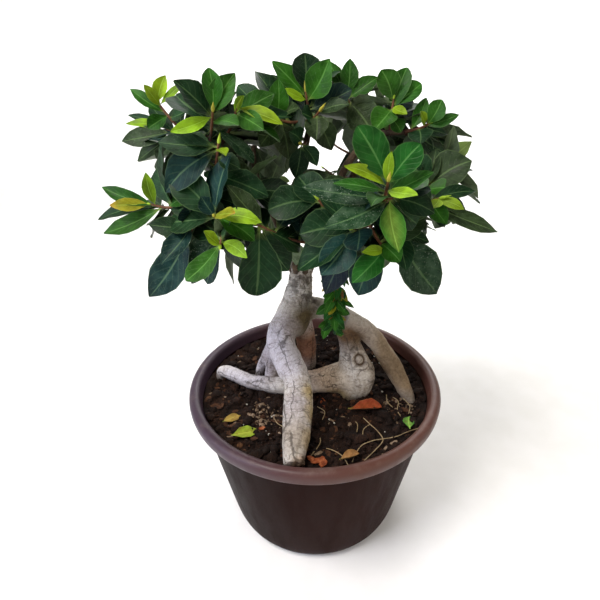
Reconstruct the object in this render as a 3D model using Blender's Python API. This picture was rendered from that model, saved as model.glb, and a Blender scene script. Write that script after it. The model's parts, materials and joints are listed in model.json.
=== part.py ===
"""A bonsai fig on a many-legged rootstock, grown in a round plastic pot.

Lengths are in millimetres here and become metres in add_object. +Z is up, the origin is the centre of the
pot's underside, and the side of the tree that is looked at faces -Y.
"""

import math
import random

import bmesh
import bpy
from mathutils import Matrix, Vector
from mathutils.bvhtree import BVHTree

MM = 0.001
GAP = 0.4

# Pot
POT_HEIGHT = 144.0
POT_RIM_RADIUS = 110.0
POT_BODY_TOP_RADIUS = 102.0
POT_BASE_RADIUS = 81.0
POT_WALL = 3.0
POT_LIP_HEIGHT = 12.0
POT_SIDES = 48

# Soil
SOIL_LEVEL = 131.0
SOIL_ROUGHNESS = 1.3
SOIL_SIDES = 36

# Leaves
LEAF_THICKNESS = 0.8
LEAF_CLEARANCE = 0.5
LEAF_DROOP = 0.10
LEAF_OUTER = 0.36
NAMED_REACH = 1.06
NAMED_WIDTH = 1.15
LEAF_STATIONS = ((0.0, 0.12), (0.62, 1.0), (1.0, 0.30))
TWIG_RADIUS = 1.3
TWIG_SIDES = 5
BRANCH_SIDES = 8
CANOPY_CENTRE = (-4, 0, 295)
CANOPY_MIDDLE = (-5, 4, 300)
CANOPY_REACH = (136, 122, 86)
CROWN_GAP_POINT = (4.7, 0, 332)
CROWN_GAP_RADIUS = 23.0
VIEWER = (0, -296, 369)
GOLDEN_ANGLE = 137.5

# Rootstock limbs: each is a run of (x, y, z, radius).
ROOT_LIMBS = {
    "neck": [(-11, 7, 248, 9), (-12, 6, 232, 9.5), (-15, 3, 216, 12.5), (-18, 1, 204, 15),
             (-21, 2, 192, 13)],
    "front_root": [(-19, 0, 205, 13), (-27, -8, 194, 12), (-27, -16, 185, 11.5), (-21, -26, 175, 11.5),
                   (-14, -37, 166, 10.5), (-13, -49, 158, 11.5), (-13.5, -61, 152, 11.5), (-14, -74, 147, 10.5),
                   (-14.5, -86, 142, 8.8), (-14.5, -96, 138, 7.4)],
    "left_fork": [(-28, 6, 190, 8), (-39, 12, 168, 5), (-50, 15, 144, 3.6), (-54, 16, 124, 3.4)],
    "left_leg": [(-28, 4, 184, 8), (-37, 8, 158, 6.5), (-41, 9, 124, 7)],
    "hook_root": [(-89, 13, 125, 3.6), (-87, 13, 138, 4.8), (-77, 9, 139, 6.6), (-58, 0, 137, 6.4),
                  (-34, -7, 138, 7.8), (-6, -6, 140, 10), (14, -4, 143, 12.5), (30, -6, 147, 15.5)],
    "bulk": [(24, 1, 199, 9), (27, 1, 186, 8.4), (31, -1, 173, 10), (34, -4, 161, 14), (36, -6, 150, 16.5),
             (35, -7, 139, 15.5), (33, -7, 126, 12)],
    "arch": [(-13, 6, 207, 12), (5, 8, 208, 8.5), (24, 1, 202, 9)],
    "right_root": [(24, 0, 202, 8.6), (38, 1, 194, 8), (52, 2, 179, 8.2), (64, 2, 161, 8.2), (73, -3, 146, 7.8),
                   (79, -13, 136, 7), (83, -21, 128, 4.6)],
    "rear_root": [(-14, 10, 200, 10), (-9, 22, 172, 9), (-7, 28, 148, 8), (-6, 30, 122, 8)],
}
ROOT_VOXEL = 2.0
ROOT_TRIANGLES = 2200

# Grafted branches: each is a run of (x, y, z, radius), from the graft outwards.
BRANCHES = {
    "branch_right_top": [(-1.6, 10.4, 2.8), (12, 9, 284, 2.7), (20, 5, 318, 2.6), (38, 1, 340, 2.2),
                         (58, -4, 344, 1.8)],
    "branch_back_right": [(-6.8, 16.1, 2.8), (14, 34, 282, 2.7), (34, 52, 312, 2.4), (52, 62, 332, 1.8)],
    "branch_top": [(-14.4, 16.4, 2.8), (-13, 15, 284, 2.7), (-9, 10, 320, 2.5), (-3, 5, 350, 1.9)],
    "branch_back_left": [(-20.1, 11.2, 2.8), (-34, 34, 280, 2.7), (-48, 52, 306, 2.4), (-50, 62, 328, 1.8)],
    "branch_left": [(-20.4, 3.6, 2.8), (-36, 4, 276, 2.7), (-52, -6, 308, 2.6), (-64, -14, 332, 2.2),
                    (-82, -8, 342, 1.8)],
    "branch_left_front": [(-15.2, -2.1, 2.8), (-30, -16, 270, 2.7), (-48, -32, 290, 2.6),
                          (-62, -40, 300, 2.2), (-84, -40, 304, 1.8)],
    "branch_front": [(-7.6, -2.4, 2.8), (2, -22, 268, 2.7), (18, -40, 284, 2.6), (32, -52, 298, 2.2),
                     (38, -66, 314, 1.8)],
    "branch_right": [(-1.9, 2.8, 2.8), (18, -8, 274, 2.7), (40, -20, 292, 2.6), (60, -28, 304, 2.0)],
}
GRAFT_HEIGHT = 250.2
GRAFT_STEP = 6.0

# Named sprays: branch, hub (x, y, z), and leaves as (clock angle seen from the front, length, angle towards
# the viewer, width, kind). Kinds: l lime, y yellowing, g green, G bright green, v variegated, d dark, D dusty
# dark, o olive grey, b blue-dark, B blue, t teal.
SPRAYS = {
    "leaves_tip_left": ("branch_left", (-99, -5, 361), [
        (65, 17, 0, 8, "l"), (35, 21, 5, 5, "l"), (110, 13, 30, 7, "l"), (150, 17, 0, 7, "g"),
        (-110, 17, 40, 8, "g"), (-10, 20, 25, 9, "d")]),
    "leaves_far_left": ("branch_left", (-98, 0, 346), [
        (170, 26, 10, 6, "l"), (160, 27, -10, 5, "d"), (-170, 28, 20, 12, "o"), (-145, 31, 0, 8, "o"),
        (125, 23, -30, 9, "d")]),
    "leaves_upper_left": ("branch_left", (-56, -45, 358), [
        (88, 19, 0, 9, "g"), (55, 21, -5, 11, "g"), (135, 21, 15, 14, "d"), (-160, 26, 25, 7, "l"),
        (-15, 20, 45, 9, "g")]),
    "leaves_upper_left_inner": ("branch_left", (-44, -35, 359), [
        (-10, 29, 20, 8, "l"), (-28, 23, 45, 10, "g"), (22, 22, -20, 11, "g"), (60, 10, 40, 5, "l")]),
    "leaves_left_big": ("branch_left_front", (-54, -48, 342), [
        (175, 31, 10, 12, "d"), (-145, 40, 10, 16, "b"), (-30, 14, 60, 6, "l"), (-45, 16, 15, 9, "d"),
        (-160, 35, -25, 10, "d")]),
    "leaves_left_low": ("branch_left_front", (-102, -40, 306), [
        (172, 24, 25, 8, "y"), (155, 29, 0, 8, "g"), (85, 20, 10, 7, "l"), (-155, 33, 15, 10, "g"),
        (-168, 44, -12, 9, "d"), (15, 24, 10, 8, "g")]),
    "leaves_left_hanging": ("branch_left_front", (-77, -50, 291), [
        (-130, 52, 8, 18, "b"), (160, 23, 10, 11, "d"), (-145, 25, 50, 12, "b"), (92, 22, -25, 15, "b")]),
    "leaves_low_left": ("branch_left_front", (-55, -68, 289), [
        (115, 15, 30, 7, "l"), (-140, 27, 22, 11, "g"), (-118, 30, -10, 10, "b"), (-10, 19, 30, 8, "l")]),
    "leaves_mid_left": ("branch_left_front", (-57, -66, 306), [
        (25, 20, 40, 9, "y"), (0, 28, 10, 9, "l"), (-32, 25, -8, 15, "g"), (130, 14, -35, 10, "b")]),
    "leaves_hanging_front": ("branch_front", (-35, -55, 298), [
        (-92, 44, 10, 23, "d"), (-62, 38, -10, 18, "d"), (115, 26, 15, 11, "o"), (-35, 34, -25, 18, "d")]),
    "leaves_inner_left": ("branch_left", (-42, -32, 313), [
        (5, 29, 15, 13, "d"), (140, 24, 10, 16, "b"), (95, 20, 30, 10, "o"), (-172, 24, -30, 15, "b")]),
    "leaves_top_left": ("branch_top", (-27, -15, 353), [
        (138, 27, -15, 12, "d"), (75, 20, 15, 11, "g"), (25, 20, 35, 8, "o"), (-60, 26, 5, 15, "o"),
        (-115, 18, 40, 13, "o")]),
    "leaves_top": ("branch_top", (-6, 5, 367), [
        (90, 20, 0, 16, "d"), (138, 25, 0, 13, "g"), (52, 23, 28, 15, "g"), (165, 19, 48, 6, "l"),
        (175, 27, -20, 12, "d"), (5, 27, 12, 13, "b")]),
    "leaves_top_front": ("branch_top", (3, -2, 356), [
        (20, 18, 25, 9, "o"), (-100, 18, 35, 13, "o"), (-70, 23, 5, 13, "o"), (-165, 15, -15, 10, "d")]),
    "leaves_top_right_inner": ("branch_right_top", (19, 15, 367), [
        (120, 20, -10, 8, "g"), (80, 18, 0, 10, "g"), (25, 22, 10, 10, "g"), (-50, 29, 32, 18, "o"),
        (-15, 21, 0, 10, "o"), (150, 15, 25, 7, "o")]),
    "leaves_top_right": ("branch_right_top", (50, 0, 363), [
        (118, 17, 15, 13, "g"), (30, 18, 0, 10, "g"), (-130, 24, 38, 14, "g"), (-45, 16, 55, 6, "l"),
        (70, 18, -5, 11, "g"), (-70, 20, 20, 9, "g")]),
    "leaves_right_up": ("branch_right_top", (74, -5, 349), [
        (75, 14, 20, 10, "g"), (22, 17, 15, 7, "g"), (135, 14, 40, 6, "l"), (-135, 18, 50, 13, "d"),
        (-20, 14, -10, 9, "d"), (-50, 21, 0, 10, "d"), (100, 16, -20, 8, "g")]),
    "leaves_rosette": ("branch_front", (37, -82, 328), [
        (122, 28, 0, 14, "G"), (52, 21, 0, 12, "G"), (95, 17, 30, 5, "l"), (155, 26, 20, 6, "l"),
        (178, 25, -5, 7, "g"), (-12, 17, 40, 7, "l"), (14, 21, -5, 9, "g"), (-150, 18, 55, 9, "g")]),
    "leaves_right_dark": ("branch_front", (44, -66, 317), [
        (-18, 23, 12, 13, "d"), (-45, 23, -10, 14, "d"), (-86, 30, 42, 12, "v"), (170, 48, 8, 12, "D"),
        (-168, 42, 28, 14, "D")]),
    "leaves_right_round": ("branch_right", (76, -20, 315), [
        (38, 25, 18, 21, "o"), (140, 21, 0, 18, "d"), (88, 21, -15, 9, "o"), (0, 18, 50, 10, "g")]),
    "leaves_right_low": ("branch_right", (76, -42, 310), [
        (-160, 13, 55, 7, "l"), (-12, 17, 42, 6, "l"), (-72, 15, 30, 9, "g"), (5, 24, -15, 8, "d"),
        (-22, 42, 5, 12, "o"), (-130, 21, -5, 12, "d")]),
    "leaves_low_right": ("branch_right", (50, -56, 292), [
        (-50, 46, 8, 24, "D"), (-75, 22, 55, 12, "d"), (-10, 20, -5, 8, "d"), (150, 22, 10, 15, "b")]),
    "leaves_low_mid": ("branch_front", (43, -64, 284), [
        (-150, 27, 32, 13, "G"), (165, 18, 30, 6, "l"), (-118, 34, -5, 18, "b"), (-30, 14, 40, 10, "g")]),
    "leaves_low_front": ("branch_front", (22, -58, 296), [
        (-128, 31, 22, 18, "t"), (-145, 40, 0, 20, "d"), (-108, 50, -8, 17, "B"), (-75, 18, 60, 15, "b"),
        (-175, 36, -18, 19, "d")]),
    "leaves_gap": ("branch_top", (-9, -14, 338), [
        (-105, 21, 5, 11, "d"), (-50, 16, 0, 9, "d"), (150, 14, 20, 10, "d")]),
    "leaves_core": ("branch_front", (2, -45, 310), [
        (-175, 29, 12, 18, "d"), (-80, 20, 25, 17, "d"), (130, 18, -20, 17, "d")]),
}
SPRAY_EXTRA_LEAVES = 3

# How a leaf is united with its twig: shift along its length in millimetres, and the Boolean solver.
JOIN_TRIES = ((0, "EXACT"), (0.1, "EXACT"), (0, "MANIFOLD"), (-0.3, "MANIFOLD"), (-0.7, "MANIFOLD"))

# Sprays of the far side: branch, hub and number of leaves, set by rule.
REAR_SPRAYS = {
    "leaves_rear_01": ("branch_left", (-96, 26, 322), 8),
    "leaves_rear_02": ("branch_left", (-70, 38, 343), 9),
    "leaves_rear_03": ("branch_back_left", (-80, 62, 300), 9),
    "leaves_rear_04": ("branch_back_left", (-46, 74, 330), 9),
    "leaves_rear_05": ("branch_top", (-28, 42, 352), 9),
    "leaves_rear_06": ("branch_back_left", (-40, 84, 290), 9),
    "leaves_rear_07": ("branch_back_right", (2, 84, 338), 9),
    "leaves_rear_08": ("branch_top", (4, 42, 358), 8),
    "leaves_rear_09": ("branch_back_right", (8, 90, 306), 9),
    "leaves_rear_10": ("branch_back_right", (42, 74, 342), 9),
    "leaves_rear_11": ("branch_back_right", (46, 84, 308), 9),
    "leaves_rear_12": ("branch_right_top", (78, 46, 336), 9),
    "leaves_rear_13": ("branch_back_right", (84, 52, 304), 9),
    "leaves_rear_14": ("branch_right_top", (48, 34, 353), 8),
    "leaves_rear_15": ("branch_right", (92, 14, 320), 8),
    "leaves_rear_16": ("branch_left", (-72, 14, 284), 8),
    "leaves_rear_17": ("branch_right", (64, 16, 284), 8),
}

# The shoot that hangs beside the graft: hub run and leaves as (clock angle, length, towards viewer, width).
SUCKER_STEM = [(13, -10, 257, 1.5), (16, -14, 240, 1.4), (15, -17, 222, 1.2), (14, -17, 207, 0.9)]
SUCKER_LEAVES = [(-60, 15, 10, 6), (-115, 20, 15, 7), (-85, 15, 45, 6), (-20, 13, 10, 6), (-150, 17, 10, 7),
                 (-45, 14, 40, 6), (-125, 18, 40, 6), (-70, 18, -20, 7)]

# Fallen leaves on the soil: centre (x, y), heading, length, width, curl upwards, kind.
LITTER = {
    "litter_yellow_green": (-55, -60, 20, 22, 12, 0.05, "litter_yellow"),
    "litter_orange": (42, -34, 12, 30, 12, 0.20, "litter_rust"),
    "litter_green": (76, -50, 80, 17, 9, 0.10, "litter_lime"),
    "litter_beige": (25, -85, 25, 17, 7, 0.25, "litter_beige"),
    "litter_yellow_brown": (-68, -44, 40, 17, 9, 0.12, "litter_beige"),
}

MATERIALS = {
    "pot_plastic": ((0.030, 0.012, 0.010), 0.38),
    "soil": ((0.020, 0.010, 0.007), 0.95),
    "root_bark": ((0.42, 0.38, 0.32), 0.75),
    "branch_bark": ((0.09, 0.05, 0.035), 0.80),
    "leaf_dark": ((0.010, 0.032, 0.012), 0.35),
    "leaf_green": ((0.030, 0.110, 0.015), 0.35),
    "litter_yellow": ((0.420, 0.400, 0.060), 0.55),
    "litter_rust": ((0.330, 0.080, 0.035), 0.60),
    "litter_lime": ((0.200, 0.300, 0.050), 0.50),
    "litter_beige": ((0.380, 0.200, 0.110), 0.65),
}


def clear_scene():
    for old in list(bpy.data.objects):
        bpy.data.objects.remove(old, do_unlink=True)


def make_material(name):
    colour, roughness = MATERIALS[name]
    made = bpy.data.materials.new(name)
    made.use_nodes = True
    shader = made.node_tree.nodes["Principled BSDF"]
    shader.inputs["Base Color"].default_value = (*colour, 1.0)
    shader.inputs["Roughness"].default_value = roughness
    made.diffuse_color = (*colour, 1.0)
    return made


def add_object(name, verts, faces, material, smooth=True):
    """A mesh object from points in millimetres."""
    mesh = bpy.data.meshes.new(name)
    mesh.from_pydata([Vector(v) * MM for v in verts], [], faces)
    mesh.validate()
    tidy = bmesh.new()
    tidy.from_mesh(mesh)
    bmesh.ops.recalc_face_normals(tidy, faces=tidy.faces)
    if tidy.calc_volume(signed=True) < 0:
        bmesh.ops.reverse_faces(tidy, faces=tidy.faces)
    tidy.to_mesh(mesh)
    tidy.free()
    mesh.polygons.foreach_set("use_smooth", [smooth] * len(mesh.polygons))
    made = bpy.data.objects.new(name, mesh)
    bpy.context.scene.collection.objects.link(made)
    if material is not None:
        made.data.materials.append(material)
    return made


def apply_modifiers(target):
    """Bakes the object's modifiers into its mesh."""
    bpy.context.view_layer.update()
    graph = bpy.context.evaluated_depsgraph_get()
    baked = bpy.data.meshes.new_from_object(target.evaluated_get(graph), depsgraph=graph)
    target.modifiers.clear()
    target.data = baked


def revolved(profile, sides):
    """Points and faces of a closed profile of (radius, z), turned about Z. Radius 0 gives one point."""
    verts, faces, rings = [], [], []
    for radius, height in profile:
        count = 1 if radius == 0 else sides
        rings.append((len(verts), count))
        for k in range(count):
            angle = math.tau * k / sides
            verts.append((radius * math.cos(angle), radius * math.sin(angle), height))
    for (first, many), (second, more) in zip(rings, rings[1:]):
        for k in range(sides):
            n = (k + 1) % sides
            if many == 1:
                faces.append((first, second + n, second + k))
            elif more == 1:
                faces.append((first + k, first + n, second))
            else:
                faces.append((first + k, first + n, second + n, second + k))
    return verts, faces


def smooth_run(run, steps):
    """A Catmull-Rom curve through the points of a run, with any further values carried along."""
    points = [Vector(p) if len(p) < 5 else p for p in run]
    points = [points[0]] + points + [points[-1]]
    out = []
    for a, b, c, d in zip(points, points[1:], points[2:], points[3:]):
        for k in range(steps):
            t = k / steps
            out.append(0.5 * (2 * b + (c - a) * t + (2 * a - 5 * b + 4 * c - d) * t * t
                              + (3 * b - a - 3 * c + d) * t ** 3))
    return out + [points[-1]]


def tube(run, sides):
    """Points and faces of a closed tube along a run of (x, y, z, radius)."""
    centres = [Vector(p[:3]) for p in run]
    verts, faces = [], []
    side = None
    for k, centre in enumerate(centres):
        ahead = centres[min(k + 1, len(centres) - 1)] - centres[max(k - 1, 0)]
        ahead.normalize()
        if side is None:
            side = ahead.orthogonal().normalized()
        side = (side - ahead * side.dot(ahead)).normalized()
        across = ahead.cross(side)
        for j in range(sides):
            angle = math.tau * j / sides
            verts.append(centre + (side * math.cos(angle) + across * math.sin(angle)) * run[k][3])
    for k in range(len(centres) - 1):
        for j in range(sides):
            n = (j + 1) % sides
            faces.append((k * sides + j, k * sides + n, (k + 1) * sides + n, (k + 1) * sides + j))
    faces.append(tuple(reversed(range(sides))))
    faces.append(tuple(range((len(centres) - 1) * sides, len(centres) * sides)))
    return verts, faces


def joined(shells):
    """One list of points and faces from several."""
    verts, faces = [], []
    for some_verts, some_faces in shells:
        faces += [tuple(i + len(verts) for i in face) for face in some_faces]
        verts += some_verts
    return verts, faces


def build_pot(material):
    """Bowl with a flat base, a rounded foot, a tapering wall and a rolled lip."""
    lip_base = POT_HEIGHT - POT_LIP_HEIGHT
    slope = (POT_BODY_TOP_RADIUS - POT_BASE_RADIUS) / lip_base
    outside = [(0, 0), (POT_BASE_RADIUS - 11, 0), (POT_BASE_RADIUS - 5, 1.2), (POT_BASE_RADIUS - 0.8, 5),
               (POT_BASE_RADIUS + 1.6, 11), (POT_BODY_TOP_RADIUS - slope * 8, lip_base - 8),
               (POT_BODY_TOP_RADIUS, lip_base)]
    lip = [(POT_RIM_RADIUS - 2.5, lip_base + 0.4), (POT_RIM_RADIUS - 0.5, lip_base + 2.5),
           (POT_RIM_RADIUS, POT_HEIGHT - 5), (POT_RIM_RADIUS - 1.5, POT_HEIGHT - 1.6),
           (POT_RIM_RADIUS - 4.5, POT_HEIGHT), (POT_RIM_RADIUS - 8, POT_HEIGHT - 1.2),
           (POT_RIM_RADIUS - 9.5, POT_HEIGHT - 5)]
    inside = [(POT_BODY_TOP_RADIUS - POT_WALL, lip_base - 2), (inner_radius(14), 14),
              (inner_radius(6) - 5, POT_WALL + 1.5), (inner_radius(6) - 11, POT_WALL), (0, POT_WALL)]
    return add_object("pot", *revolved(outside + lip + inside, POT_SIDES), material)


def inner_radius(height):
    """Radius of the pot's inner wall at a height below the lip."""
    share = (height - 14) / (POT_HEIGHT - POT_LIP_HEIGHT - 2 - 14)
    low = POT_BASE_RADIUS - POT_WALL + 2
    return low + (POT_BODY_TOP_RADIUS - POT_WALL - low) * max(share, 0)


def soil_height(x, y):
    """Height of the soil's surface, mounded a little towards the stem."""
    waves = (math.sin(0.11 * x + 1.3) * math.cos(0.13 * y - 0.4) + 0.6 * math.sin(0.23 * x - 0.19 * y)
             + 0.4 * math.cos(0.37 * y + 0.29 * x + 2.0))
    return SOIL_LEVEL + SOIL_ROUGHNESS * 0.7 * waves + 1.5 * math.exp(-((x + 5) ** 2 + y ** 2) / 2500)


def build_soil(material):
    """Potting soil from the pot's floor to just under the lip."""
    verts, faces = [(0, 0, soil_height(0, 0))], []
    top_radius = inner_radius(SOIL_LEVEL - 2) - GAP
    rings = [top_radius * share for share in (0.12, 0.28, 0.44, 0.60, 0.74, 0.86, 0.94, 1.0)]
    foot_radius = inner_radius(6) - GAP
    lower = [(inner_radius(60) - GAP, 60), (inner_radius(14) - GAP, 14), (foot_radius - 5, POT_WALL + 2.2),
             (foot_radius - 11, POT_WALL + GAP)]
    for radius in rings:
        for k in range(SOIL_SIDES):
            x, y = (radius * f(math.tau * k / SOIL_SIDES) for f in (math.cos, math.sin))
            verts.append((x, y, soil_height(x, y)))
    for radius, height in lower:
        for k in range(SOIL_SIDES):
            x, y = (radius * f(math.tau * k / SOIL_SIDES) for f in (math.cos, math.sin))
            verts.append((x, y, height))
    verts.append((0, 0, POT_WALL + GAP))
    last = len(verts) - 1
    count = len(rings) + len(lower)
    for k in range(SOIL_SIDES):
        n = (k + 1) % SOIL_SIDES
        faces.append((0, 1 + k, 1 + n))
        for ring in range(count - 1):
            a, b = 1 + ring * SOIL_SIDES, 1 + (ring + 1) * SOIL_SIDES
            faces.append((a + k, b + k, b + n, a + n))
        a = 1 + (count - 1) * SOIL_SIDES
        faces.append((a + k, last, a + n))
    return add_object("soil", verts, faces, material)


def build_rootstock(material):
    """The swollen roots and neck, grown together as one piece."""
    shells = [tube(smooth_run(limb, 4), 14) for limb in ROOT_LIMBS.values()]
    made = add_object("rootstock", *joined(shells), material)
    fuse = made.modifiers.new("fuse", "REMESH")
    fuse.mode = "VOXEL"
    fuse.voxel_size = ROOT_VOXEL * MM
    ease = made.modifiers.new("ease", "SMOOTH")
    ease.factor, ease.iterations = 0.5, 4
    apply_modifiers(made)
    made.data.calc_loop_triangles()
    thin = made.modifiers.new("thin", "DECIMATE")
    thin.ratio = ROOT_TRIANGLES / len(made.data.loop_triangles)
    apply_modifiers(made)
    made.data.polygons.foreach_set("use_smooth", [True] * len(made.data.polygons))
    return made


def cut_root_pockets(soil, rootstock):
    """Opens the soil round the sunken feet of the rootstock, a little wider than they are."""
    cutter = rootstock.copy()
    cutter.data = rootstock.data.copy()
    bpy.context.scene.collection.objects.link(cutter)
    for vertex in cutter.data.vertices:
        vertex.co = vertex.co + vertex.normal * GAP * MM * 1.5
    cut = soil.modifiers.new("pockets", "BOOLEAN")
    cut.operation, cut.object, cut.solver = "DIFFERENCE", cutter, "EXACT"
    apply_modifiers(soil)
    bpy.data.objects.remove(cutter, do_unlink=True)


def leaf_direction(clock, towards):
    """Unit vector from a clock angle seen from the front and an angle towards the viewer."""
    clock, towards = math.radians(clock), math.radians(towards)
    flat = math.cos(towards)
    return Vector((math.cos(clock) * flat, -math.sin(towards), math.sin(clock) * flat))


def leaf_shell(leaf, grow=0.0, start=0.0):
    """Points and faces of a leaf plate, with a stalk end at its base."""
    base, heading, facing = leaf["base"], leaf["heading"], leaf["facing"]
    length, width = leaf["length"], leaf["width"]
    across = heading.cross(facing)
    half = LEAF_THICKNESS / 2 + grow
    verts, faces = [], []
    for share, breadth in LEAF_STATIONS:
        share = max(share, start)
        forward = share * length + (grow if share == 1 else 0)
        centre = base + heading * forward - facing * LEAF_DROOP * length * share ** 2
        reach = across * (breadth * width / 2 + grow)
        for a, b in ((-1, -1), (1, -1), (1, 1), (-1, 1)):
            verts.append(centre + reach * a + facing * half * b)
    for k in range(len(LEAF_STATIONS) - 1):
        for j in range(4):
            n = (j + 1) % 4
            faces.append((4 * k + j, 4 * k + n, 4 * k + 4 + n, 4 * k + 4 + j))
    faces += [(3, 2, 1, 0), tuple(range(len(verts) - 4, len(verts)))]
    return verts, faces


class Clearance:
    """Remembers what has been placed and tells whether something new would touch it."""

    def __init__(self):
        self.placed = []

    @staticmethod
    def bounds(verts):
        low = [min(v[i] for v in verts) for i in range(3)]
        high = [max(v[i] for v in verts) for i in range(3)]
        return low, high

    def hits(self, shell, spray, outer_of=None):
        """Whether a shell meets other sprays or, with outer_of, the outer parts of its own leaves."""
        low, high = self.bounds(shell[0])
        tree = None
        for other, other_low, other_high, other_tree in self.placed:
            wanted = other == outer_of if outer_of else other != spray and not other.endswith("outer")
            if not wanted:
                continue
            if any(low[i] > other_high[i] or high[i] < other_low[i] for i in range(3)):
                continue
            tree = tree or BVHTree.FromPolygons(*shell)
            if tree.overlap(other_tree):
                return True
        return False

    def add(self, shell, spray):
        self.placed.append((spray, *self.bounds(shell[0]), BVHTree.FromPolygons(*shell)))


def faced(heading, wish):
    """The unit normal nearest to a wish that stands square to the heading."""
    normal = wish - heading * wish.dot(heading)
    if normal.length < 0.15:
        normal = heading.orthogonal()
    return normal.normalized()


def make_leaf(base, heading, wish, length, width, kind, roll):
    facing = faced(heading, wish)
    facing.rotate(Matrix.Rotation(math.radians(roll), 3, heading))
    return {"base": base, "heading": heading, "facing": facing, "length": length, "width": width,
            "kind": kind}


def leaf_fits(leaf, spray, clearance):
    if clearance.hits(leaf_shell(leaf, LEAF_CLEARANCE), spray):
        return False
    return not clearance.hits(leaf_shell(leaf, 0, LEAF_OUTER), spray, spray + " outer")


def place_named_leaf(spray, twig, order, row, clearance):
    """A leaf given by its clock angle, turned a little aside when something is in its way."""
    clock, length, towards, width, kind = row
    chance = random.Random(f"{spray}{order}")
    base = twig_point(twig, order * 1.6 if kind in "ly" else 2.0 + order * 1.8)
    wish = (Vector(VIEWER) - base).normalized() + Vector((0, 0, 0.7))
    for attempt in range(40):
        swing = attempt * 0.9
        ahead = leaf_direction(clock + chance.uniform(-1, 1) * swing,
                               towards + chance.uniform(-1, 1) * swing)
        blade = twig[-1] + ahead * length * NAMED_REACH * (1 - attempt * 0.008) - base
        leaf = make_leaf(base, blade.normalized(), wish, blade.length, width * NAMED_WIDTH, kind,
                         chance.uniform(-12 - swing, 12 + swing))
        if leaf_fits(leaf, spray, clearance):
            return leaf
    return None


def place_ruled_leaf(spray, twig, order, count, backwards, clearance):
    """A leaf on the spiral round the twig, longest and most open at its foot."""
    chance = random.Random(f"{spray} ruled {order}")
    age = 1 - order / max(count - 1, 1)
    base = twig_point(twig, 1.5 + age * 16)
    axis = (twig[-1] - twig[-2]).normalized()
    side = axis.orthogonal().normalized()
    for attempt in range(30):
        turn = math.radians(GOLDEN_ANGLE * order + chance.uniform(-1, 1) * (14 + attempt * 4))
        opening = math.radians(30 + 66 * age + chance.uniform(-14, 14))
        around = side.copy()
        around.rotate(Matrix.Rotation(turn, 3, axis))
        heading = (axis * math.cos(opening) + around * math.sin(opening)).normalized()
        if backwards and heading.y < -0.2:
            heading.y = -heading.y
        length = (27 + 20 * age) * chance.uniform(0.86, 1.12) * (1 - attempt * 0.012)
        wish = (base - Vector(CANOPY_CENTRE)).normalized() + Vector((0, 0, 1.1))
        kind = "l" if age < 0.25 and not backwards else chance.choice("gddob" if age < 0.6 else "ddDob")
        leaf = make_leaf(base, heading, wish, length, length * chance.uniform(0.48, 0.58), kind,
                         chance.uniform(-25, 25))
        open_air = in_canopy(base + heading * length) and not in_crown_gap(base, heading * length)
        if open_air and leaf_fits(leaf, spray, clearance):
            return leaf
    return None


def in_canopy(point):
    """Whether a point is inside the egg that the far leaves fill."""
    return sum(((p - m) / r) ** 2 for p, m, r in zip(point, CANOPY_MIDDLE, CANOPY_REACH)) < 1


def in_crown_gap(base, blade):
    """Whether a leaf would block the gap that lets daylight through the crown on the viewer's line of sight."""
    line = (Vector(CROWN_GAP_POINT) - Vector(VIEWER)).normalized()
    for share in (0.4, 0.7, 1.0):
        away = base + blade * share - Vector(VIEWER)
        if (away - line * away.dot(line)).length < CROWN_GAP_RADIUS:
            return True
    return False


def twig_point(twig, back):
    """The point of the twig a distance back from its tip."""
    for near, far in zip(reversed(twig), reversed(twig[:-1])):
        step = (far - near).length
        if back <= step:
            return near.lerp(far, back / step)
        back -= step
    return twig[0].lerp(twig[1], 0.2)


def branch_run(name):
    """The branch's run with the vertical step at the graft put in front."""
    start, *rest = BRANCHES[name]
    x, y, radius = start
    run = [Vector((x, y, GRAFT_HEIGHT, radius)), Vector((x, y, GRAFT_HEIGHT + GRAFT_STEP, radius))]
    return smooth_run(run + [Vector(p) for p in rest], 4)


def twig_run(name, branch, hub, clearance):
    """The twig from beside its branch to the spray's hub, bowed out until nothing is in its way."""
    hub = Vector(hub)
    run = branch_run(branch)[9:]
    joint = min(run, key=lambda p: (Vector(p[:3]) - hub).length + 0.25 * max(0, p[2] - hub.z))
    joint, radius = Vector(joint[:3]), joint[3]
    chance = random.Random(name)
    away = (hub - joint).normalized()
    for attempt in range(60):
        bow = Vector([chance.uniform(-1, 1) * attempt * 0.5 for _ in range(3)])
        middle = joint.lerp(hub, 0.55) + Vector((0, 0, -0.06 * (hub - joint).length)) + bow
        leave = (middle - joint).normalized() if attempt < 30 else away
        start = joint + leave * (radius + GAP + TWIG_RADIUS + attempt * 0.05)
        twig = [start, middle, hub]
        shell = tube([(*p, TWIG_RADIUS + GAP) for p in twig], TWIG_SIDES)
        if not clearance.hits(shell, name):
            break
    else:
        print("twig in the way:", name)
    return twig


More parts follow.
